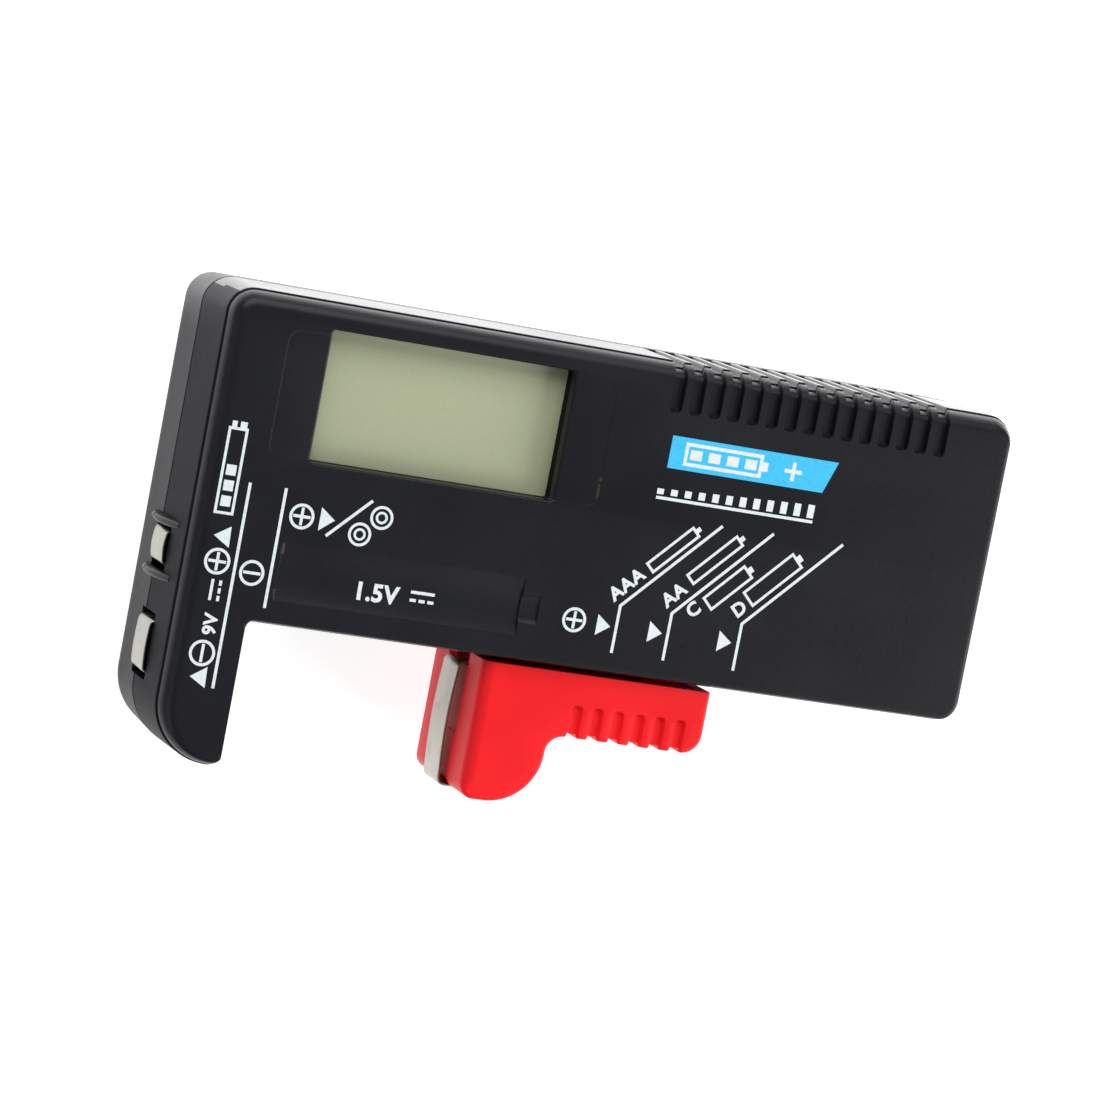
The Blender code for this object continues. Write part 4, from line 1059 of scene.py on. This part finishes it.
class Finish:
    """A material with one Principled shader and the nodes that feed it."""

    def __init__(self, name, colour, roughness, **constants):
        self.shade = (*colour, 1.0)
        self.material = bpy.data.materials.new(name)
        self.material.use_nodes = True
        self.tree = self.material.node_tree
        self.shader = self.tree.nodes["Principled BSDF"]
        self.material.diffuse_color = (*colour, 1.0)
        self.feed("Base Color", (*colour, 1.0))
        self.feed("Roughness", roughness)
        for socket, value in constants.items():
            self.feed(socket.replace("_", " "), value)

    def node(self, kind, settings=None, sockets=None):
        """Add a node of this type with its settings, then the values or links of its sockets."""
        made = self.tree.nodes.new("ShaderNode" + kind)
        for name, value in (settings or {}).items():
            setattr(made, name, value)
        for name, value in (sockets or {}).items():
            self.plug(made.inputs[name], value)
        return Made(self, made)

    def plug(self, socket, value):
        """Link a value to a socket, or set the socket where the value is a plain one."""
        if isinstance(value, Value):
            self.tree.links.new(value.socket, socket)
        elif isinstance(value, bpy.types.NodeSocket):
            self.tree.links.new(value, socket)
        else:
            socket.default_value = value

    def feed(self, socket, value):
        """Set or link one of the shader's own sockets."""
        self.plug(self.shader.inputs[socket], value)

    def place(self):
        """Object coordinates as a vector, and their three parts in metres."""
        spot = self.node("TexCoord").out("Object")
        parts = self.node("SeparateXYZ", None, {"Vector": spot})
        return spot, *(parts.value(k) for k in range(3))

    def noise(self, scale, detail=3.0, roughness=0.55, stretch=None):
        """Noise from 0 to 1 in object space; stretch scales the three directions."""
        spot = self.node("TexCoord").out("Object")
        if stretch:
            spot = self.node("Mapping", None, {"Vector": spot, "Scale": stretch}).out()
        sockets = {"Vector": spot, "Scale": scale, "Detail": detail, "Roughness": roughness}
        return self.node("TexNoise", None, sockets).value(0)

    def blend(self, share, first, second):
        """Colour between two colours; the mix node's colour sockets are found by type."""
        mix = self.node("Mix", {"data_type": "RGBA"}).node
        self.plug(mix.inputs["Factor"], share)
        for socket, colour in zip([s for s in mix.inputs if s.type == "RGBA"], (first, second)):
            self.plug(socket, colour)
        return next(s for s in mix.outputs if s.type == "RGBA")

    def vary(self, grain, swing, roughness):
        """Roughness that swings about its mean with a noise."""
        self.feed("Roughness", (grain - 0.5) * swing + roughness)

    def relief(self, height, distance, strength):
        """Bump as the shader's own normal."""
        self.feed("Normal", self.bump(height, distance, strength))

    def bump(self, height, distance, strength=1.0, onto=None):
        """Bump of a height whose unit stands for a distance in metres."""
        sockets = {"Height": height, "Distance": distance, "Strength": strength}
        if onto is not None:
            sockets["Normal"] = onto
        return self.node("Bump", None, sockets).out()


def tinted(colour, factor):
    """A colour made darker or lighter."""
    return (*(min(c * factor, 1.0) for c in colour[:3]), 1.0)


def moulded(name, colour, roughness, grain, bump, spots=0.0):
    """Moulded plastic: cloudy colour, fine skin grain, and gloss that varies in soft patches."""
    finish = Finish(name, colour, roughness)
    clouds = finish.noise(60.0, 2.0)
    fine = finish.noise(grain, 3.0, 0.6)
    colours = finish.blend(clouds.ramp(0.3, 0.7), tinted(colour, 0.9), tinted(colour, 1.12))
    if spots:
        dust = finish.noise(grain * 0.5, 1.0).ramp(0.72, 0.8, 0.0, spots)
        colours = finish.blend(dust, colours, (0.3, 0.3, 0.3, 1.0))
    finish.shade = colours
    finish.feed("Base Color", colours)
    finish.feed("Roughness", (clouds - 0.5) * 0.1 + (fine - 0.5) * 0.14 + roughness)
    return finish, fine, finish.bump(fine, bump, 0.6)


def front_black(colour):
    """Black front: fine grain, and the faint sunk tab that runs behind the display window.

    The tab's outline is where the distance to a rounded box is nil, and a worn brown patch
    lies on that outline near its lower right corner.
    """
    finish, _, skin = moulded("front_black", colour, 0.36, 2600.0, 0.000015)
    finish.feed("Specular IOR Level", 0.28)
    _, x, y, z = finish.place()
    x = x / MM - ORIGIN[0]
    y = y / MM - ORIGIN[1]
    across = abs(x - sum(TAB_X) / 2) - (TAB_X[1] - TAB_X[0]) / 2 + TAB_CORNER
    along = abs(y - sum(TAB_Y) / 2) - (TAB_Y[1] - TAB_Y[0]) / 2 + TAB_CORNER
    outside = (across.most(0.0) ** 2.0 + along.most(0.0) ** 2.0) ** 0.5
    distance = outside + across.most(along).least(0.0) - TAB_CORNER
    sunk = distance.ramp(-0.12, 0.12) * (z / MM).ramp(FACE - 0.5, FACE - 0.3)
    finish.feed("Normal", finish.bump(sunk, 0.000022, 1.0, skin))
    rub = abs(distance).ramp(0.22, 0.05) * abs(y - RUB_SPOT[1]).ramp(2.4, 1.2)
    rub = rub * abs(x - RUB_SPOT[0]).ramp(1.6, 1.0)
    rub = rub * finish.noise(1200.0, 3.0).ramp(0.4, 0.6) * 0.6
    finish.feed("Base Color", finish.blend(rub, finish.shade, (0.11, 0.07, 0.04, 1.0)))
    return finish.material


def shaded_wall_black(colour):
    """Painted shade for the front's walls: the same black as the face, rougher and with hardly any
    sheen, so that the side walls, the arm and the lower walls show darker than the top wall.
    """
    finish, _, skin = moulded("front_wall_painted_shade", colour, 0.45, 2400.0, 0.000015)
    # Painted shade: the sheen is all but taken away, so these walls look darker than the same plastic
    # on the face.
    finish.feed("Specular IOR Level", 0.03)
    finish.feed("Normal", skin)
    return finish.material


def paint_under(thing, material, level, limit):
    """Second finish for the faces whose centres lie under a level and short of a limit in y."""
    mesh = thing.data
    mesh.materials.append(material)
    centres = np.empty(3 * len(mesh.polygons))
    mesh.polygons.foreach_get("center", centres)
    _, y, z = centres.reshape(-1, 3).T
    lower = (z < level) & (y < limit)
    mesh.polygons.foreach_set("material_index", lower.astype(np.int32))


def rear_black(colour):
    """Black rear half: the same plastic with a coarser eroded skin."""
    finish = Finish("rear_black", colour, 0.48, Specular_IOR_Level=0.16)
    fine = finish.noise(2200.0, 3.0, 0.6)
    coarse = finish.noise(900.0, 4.0, 0.65)
    clouds = finish.noise(60.0, 2.0)
    shade = finish.blend(coarse.ramp(0.35, 0.65), tinted(colour, 1.0), tinted(colour, 1.45))
    finish.feed("Base Color", shade)
    finish.feed("Roughness", (coarse - 0.5) * 0.15 + (clouds - 0.5) * 0.1 + 0.48)
    finish.relief(coarse * 0.6 + fine * 0.6, 0.00003, 0.6)
    return finish.material


def red_plastic(colour):
    """Red slider: satin with a faint skin and a little light passing through."""
    finish, _, skin = moulded("slider_red_plastic", colour, 0.4, 2400.0, 0.000015)
    finish.feed("Specular IOR Level", 0.13)
    finish.feed("Subsurface Weight", 0.2)
    finish.feed("Subsurface Radius", (0.003, 0.0006, 0.0005))
    finish.feed("Subsurface Scale", 0.6)
    finish.feed("Normal", skin)
    return finish.material


def rolled_metal(name, colour, roughness, along=(1.0, 1.0, 60.0)):
    """Rolled plated metal: fine lines along the strip, faint clouds of tarnish."""
    finish = Finish(name, colour, roughness, Metallic=1.0)
    lines = finish.noise(90.0, 4.0, 0.6, along)
    clouds = finish.noise(350.0, 3.0)
    tarnish = clouds.ramp(0.55, 0.75, 0.0, 0.45)
    finish.feed("Base Color", finish.blend(tarnish, (*colour, 1.0), tinted(colour, 0.72)))
    finish.feed("Roughness", (lines - 0.5) * 0.2 + tarnish * 0.25 + roughness)
    finish.relief(lines, 0.000015, 0.7)
    return finish.material


def display_glass_film(colour):
    """Blank liquid crystal display: grey green, a faint dot grain and a soft sheen."""
    finish = Finish("display_film_grey", colour, 0.28, Coat_Weight=0.25, Coat_Roughness=0.12)
    grain = finish.noise(5200.0, 2.0, 0.7)
    clouds = finish.noise(28.0, 1.0)
    mixed = (grain - 0.5) * 0.35 + clouds
    shade = finish.blend(mixed.ramp(0.25, 0.75), tinted(colour, 0.94), tinted(colour, 1.06))
    finish.feed("Base Color", shade)
    finish.vary(grain, 0.2, 0.3)
    finish.relief(grain, 0.000006, 0.5)
    return finish.material


def ink_finish(name, colour):
    """Printed ink: slightly uneven cover with a dull skin."""
    finish = Finish(name, colour, 0.55)
    cover = finish.noise(2400.0, 3.0, 0.6)
    finish.feed("Base Color", finish.blend(cover.ramp(0.25, 0.6), tinted(colour, 0.86), (*colour, 1.0)))
    finish.vary(cover, 0.3, 0.55)
    finish.relief(cover, 0.000008, 0.6)
    return finish.material


def speckled(name, colour, roughness, scale=1500.0, **constants):
    """Plain inner part: speckled colour, varying gloss and a fine skin."""
    finish = Finish(name, colour, roughness, **constants)
    fine = finish.noise(scale, 4.0, 0.6)
    dark, light = tinted(colour, 0.82), tinted(colour, 1.15)
    finish.feed("Base Color", finish.blend(fine.ramp(0.3, 0.7), dark, light))
    finish.vary(fine, 0.3, roughness)
    finish.relief(fine, 0.00002, 0.6)
    return finish.material


def banded(name, colour, bands, axis, pitch, roughness, **constants):
    """Part with bands across one direction, such as a winding or a striped rubber strip."""
    finish = Finish(name, colour, roughness, **constants)
    spot = finish.place()[1 + axis]
    wave = (spot * (math.tau / pitch)).sine() * 0.5 + 0.5
    grain = finish.noise(2000.0, 2.0)
    finish.feed("Base Color", finish.blend(wave.ramp(0.35, 0.65), (*colour, 1.0), (*bands, 1.0)))
    finish.vary(grain, 0.2, roughness)
    finish.relief(wave + grain * 0.2, pitch * 0.25, 0.6)
    return finish.material


def resistor_bands():
    """Resistor: pale blue lacquer with four colour rings."""
    colour = (0.22, 0.42, 0.55)
    finish = Finish("resistor_lacquer", colour, 0.35)
    x = finish.place()[1] / MM - (RESISTOR_MIDDLE + ORIGIN[0])
    shade = (*colour, 1.0)
    for at, ring in RESISTOR_RINGS:
        shade = finish.blend(abs(x - at).ramp(0.36, 0.28), shade, (*ring, 1.0))
    grain = finish.noise(1800.0, 2.0)
    metal = abs(x).ramp(3.48, 3.54)
    finish.feed("Base Color", finish.blend(metal, shade, (0.6, 0.58, 0.55, 1.0)))
    finish.feed("Metallic", metal)
    finish.vary(grain, 0.2, 0.35)
    finish.relief(grain, 0.00001, 0.5)
    return finish.material


def board_green():
    """Circuit board: green mask over pale tracks, with a darker green grain."""
    green = (0.012, 0.11, 0.045)
    finish = Finish("board_green", green, 0.35)
    sockets = {"Vector": finish.node("TexCoord").out("Object"), "Scale": 260.0, "Randomness": 0.55}
    cells = finish.node("TexVoronoi", {"feature": "DISTANCE_TO_EDGE"}, sockets).value()
    tracks = cells.ramp(0.10, 0.14, 1.0, 0.0)
    grain = finish.noise(1500.0, 3.0)
    shade = finish.blend(tracks, (*green, 1.0), (0.05, 0.24, 0.09, 1.0))
    finish.feed("Base Color", finish.blend(grain.ramp(0.3, 0.8), shade, (0.01, 0.08, 0.035, 1.0)))
    finish.vary(grain, 0.2, 0.35)
    finish.relief(tracks + grain * 0.2, 0.00004, 0.6)
    return finish.material


def paint_inner_parts():
    """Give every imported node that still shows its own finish."""
    steel = rolled_metal("screw_steel_plated", (0.58, 0.57, 0.55), 0.32, (1.0, 1.0, 1.0))
    wire_black = speckled("wire_black_sleeve", (0.012, 0.012, 0.013), 0.4)
    wire_red = speckled("wire_red_sleeve", (0.5, 0.015, 0.015), 0.4)
    glass = speckled("display_pane", (0.33, 0.38, 0.30), 0.08, 400.0)
    parts = {
        "contact_rail": rolled_metal("rail_nickel", (0.66, 0.64, 0.58), 0.3, (40.0, 1.0, 1.0)),
        "display_front_glass": glass,
        "display_rear_glass": glass,
        "display_reflector": speckled("reflector_foil", (0.62, 0.63, 0.58), 0.35, 900.0, Metallic=0.5),
        "display_holder": speckled("holder_ivory", (0.66, 0.65, 0.6), 0.5),
        "rubber_connector": banded("connector_stripes", (0.62, 0.42, 0.4), (0.05, 0.05, 0.05), 0,
                                   0.0004, 0.7),
        "circuit_board": board_green(),
        "chip_cover": speckled("chip_resin", (0.012, 0.012, 0.013), 0.25),
        "boost_coil": speckled("coil_ferrite", (0.045, 0.042, 0.042), 0.6),
        "coil_winding": banded("coil_copper", (0.72, 0.27, 0.10), (0.42, 0.13, 0.04), 2, 0.00025, 0.3,
                               Metallic=1.0),
        "capacitor": speckled("capacitor_sleeve_blue", (0.02, 0.035, 0.14), 0.35),
        "load_resistor_1": resistor_bands(),
        "transistor": speckled("transistor_resin", (0.014, 0.014, 0.014), 0.45),
        "nine_volt_lead_black": wire_black,
        "cell_lead_black": wire_black,
        "nine_volt_lead_red": wire_red,
        "cell_lead_red": wire_red,
    }
    parts["load_resistor_2"] = parts["load_resistor_1"]
    chip = speckled("chip_resistor_black", (0.02, 0.02, 0.022), 0.4)
    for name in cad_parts:
        if "screw" in name:
            parts[name] = steel
        if name.startswith("chip_resistor"):
            parts[name] = chip
    for name, material in parts.items():
        repaint(name, material)


def repaint(name, material):
    """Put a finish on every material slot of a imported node."""
    node = bpy.data.objects[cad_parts[name].name]
    if not node.material_slots:
        node.data.materials.append(material)
    for slot in node.material_slots:
        slot.material = material


def make_floor(stage):
    """Flat pale floor that glows, more so behind the tester."""
    x, y = np.meshgrid(FLOOR_SPREAD, FLOOR_SPREAD)
    skin = Skin()
    skin.grid(joined(x, y, FLOOR_LEVEL) / MM - ORIGIN)
    floor = skin.build("pale_floor")
    finish = Finish("floor_paper", tuple(stage.floor), 0.9)
    cloud = finish.noise(3.0, 1.0)
    dark, light = tinted(stage.floor, 0.995), tinted(stage.floor, 1.005)
    finish.feed("Base Color", finish.blend(cloud, dark, light))
    behind = (finish.place()[2] / MM).ramp(*GLOW_RISE)
    dim = (GLOW_SHARE, GLOW_SHARE, GLOW_SHARE, 1.0)
    finish.feed("Emission Color", finish.blend(behind, dim, (1.0, 1.0, 1.0, 1.0)))
    finish.feed("Emission Strength", stage.glow / GLOW_SHARE)
    floor.data.materials.append(finish.material)


def soft_light(name, spot, size, power):
    """Rectangular soft light that faces the tester."""
    lamp = bpy.data.lights.new(name, "AREA")
    lamp.shape = "RECTANGLE"
    lamp.size, lamp.size_y = size
    lamp.energy = power
    thing = bpy.data.objects.new(name, lamp)
    bpy.context.scene.collection.objects.link(thing)
    thing.location = spot
    thing.rotation_mode = "QUATERNION"
    thing.rotation_quaternion = (-Vector(spot)).to_track_quat("-Z", "Y")


class Step:
    """Runs an operator's make() on the scene; an error in it stops the run."""

    def execute(self, context):
        self.make(context.scene)
        return {"FINISHED"}


class TESTER_OT_stage(Step, bpy.types.Operator):
    """Make the floor, the soft lights, the surround and the camera"""

    bl_idname = "tester.stage"
    bl_label = "Stage"

    def make(self, scene):
        stage = scene.tester_stage
        make_floor(stage)
        for name, spot, size, share in SOFT_LIGHTS:
            soft_light(name, spot, size, stage.power * share)
        world = bpy.data.worlds.new("plain_surround")
        scene.world = world
        world.use_nodes = True
        back = world.node_tree.nodes["Background"]
        back.inputs["Color"].default_value = (1.0, 1.0, 1.0, 1.0)
        back.inputs["Strength"].default_value = stage.surround
        scene.view_settings.view_transform = "Standard"

        lens = bpy.data.cameras.new("camera")
        lens.lens = stage.lens
        lens.sensor_width = 36.0
        lens.shift_x, lens.shift_y = CAMERA_SHIFT
        lens.clip_start, lens.clip_end = 0.01, 20.0
        camera = bpy.data.objects.new("camera", lens)
        scene.collection.objects.link(camera)
        camera.matrix_world = Matrix(CAMERA_PLACE)
        scene.camera = camera


class TESTER_OT_front(Step, bpy.types.Operator):
    """Make the front half of the casing"""

    bl_idname = "tester.front"
    bl_label = "Front casing"

    def make(self, scene):
        colour = tuple(scene.tester_colours.casing)
        thing = make_front_casing(scene.tester_sizes, front_black(colour))
        limit = (HEIGHT + ORIGIN[1] - 1.0) * MM
        # Painted shade: the faces below the roll, all but the top wall, get the duller copy of the
        # black.
        paint_under(thing, shaded_wall_black(colour), FACE * MM - scene.tester_sizes.roll, limit)


class TESTER_OT_rear(Step, bpy.types.Operator):
    """Make the rear half of the casing and the locating fins"""

    bl_idname = "tester.rear"
    bl_label = "Rear casing and fins"

    def make(self, scene):
        colour = tuple(scene.tester_colours.casing)
        make_rear_casing(rear_black(colour))
        make_fins(front_black(colour))


class TESTER_OT_slider(Step, bpy.types.Operator):
    """Make the red slider"""

    bl_idname = "tester.slider"
    bl_label = "Slider"

    def make(self, scene):
        make_slider(scene.tester_sizes, red_plastic(tuple(scene.tester_colours.slider)))


class TESTER_OT_contacts(Step, bpy.types.Operator):
    """Make the bent nickel contact strips"""

    bl_idname = "tester.contacts"
    bl_label = "Contact strips"

    def make(self, scene):
        make_contacts(rolled_metal("strip_nickel", STRIP_NICKEL, 0.3))


class TESTER_OT_display(Step, bpy.types.Operator):
    """Finish the blank display"""

    bl_idname = "tester.display"
    bl_label = "Display"

    def make(self, scene):
        repaint("display_film", display_glass_film(tuple(scene.tester_colours.film)))


class TESTER_OT_prints(Step, bpy.types.Operator):
    """Print the lines, signs and the label on the face"""

    bl_idname = "tester.prints"
    bl_label = "Prints"

    def make(self, scene):
        colours = scene.tester_colours
        white = ink_finish("white_print_ink", tuple(colours.white))
        blue = ink_finish("blue_label_ink", tuple(colours.blue))
        make_prints(scene.tester_sizes, white, blue)


class TESTER_OT_inner_parts(Step, bpy.types.Operator):
    """Finish the screws, the board and the other parts inside"""

    bl_idname = "tester.inner_parts"
    bl_label = "Inner parts"

    def make(self, scene):
        paint_inner_parts()


class TESTER_PT_panel(bpy.types.Panel):
    """Lists the tester's pieces and their sizes"""

    bl_idname = "TESTER_PT_panel"
    bl_label = "Battery Tester"
    bl_space_type = "VIEW_3D"
    bl_region_type = "UI"
    bl_category = "Tester"

    def draw(self, context):
        column = self.layout.column()
        for group in GROUPS:
            for name in GROUPS[group].__annotations__:
                column.prop(getattr(context.scene, group), name)
        for operator in OPERATORS:
            column.operator(operator.bl_idname)


GROUPS = {"tester_sizes": TesterSizes, "tester_colours": TesterColours, "tester_stage": TesterStage}
OPERATORS = (TESTER_OT_stage, TESTER_OT_front, TESTER_OT_rear, TESTER_OT_slider, TESTER_OT_contacts,
             TESTER_OT_display, TESTER_OT_prints, TESTER_OT_inner_parts)


def register():
    """Register the classes and hang the settings on the scene."""
    for kind in (*GROUPS.values(), *OPERATORS, TESTER_PT_panel):
        bpy.utils.register_class(kind)
    for name, kind in GROUPS.items():
        setattr(bpy.types.Scene, name, bpy.props.PointerProperty(type=kind))


def unregister():
    """Take the settings and the classes away again."""
    for name in GROUPS:
        delattr(bpy.types.Scene, name)
    for kind in reversed((*GROUPS.values(), *OPERATORS, TESTER_PT_panel)):
        bpy.utils.unregister_class(kind)


def main():
    register()
    steps = bpy.ops.tester
    for step in (steps.stage, steps.front, steps.rear, steps.slider, steps.contacts, steps.display,
                 steps.prints, steps.inner_parts):
        step()
    bpy.context.view_layer.update()


if __name__ == "__main__":
    main()
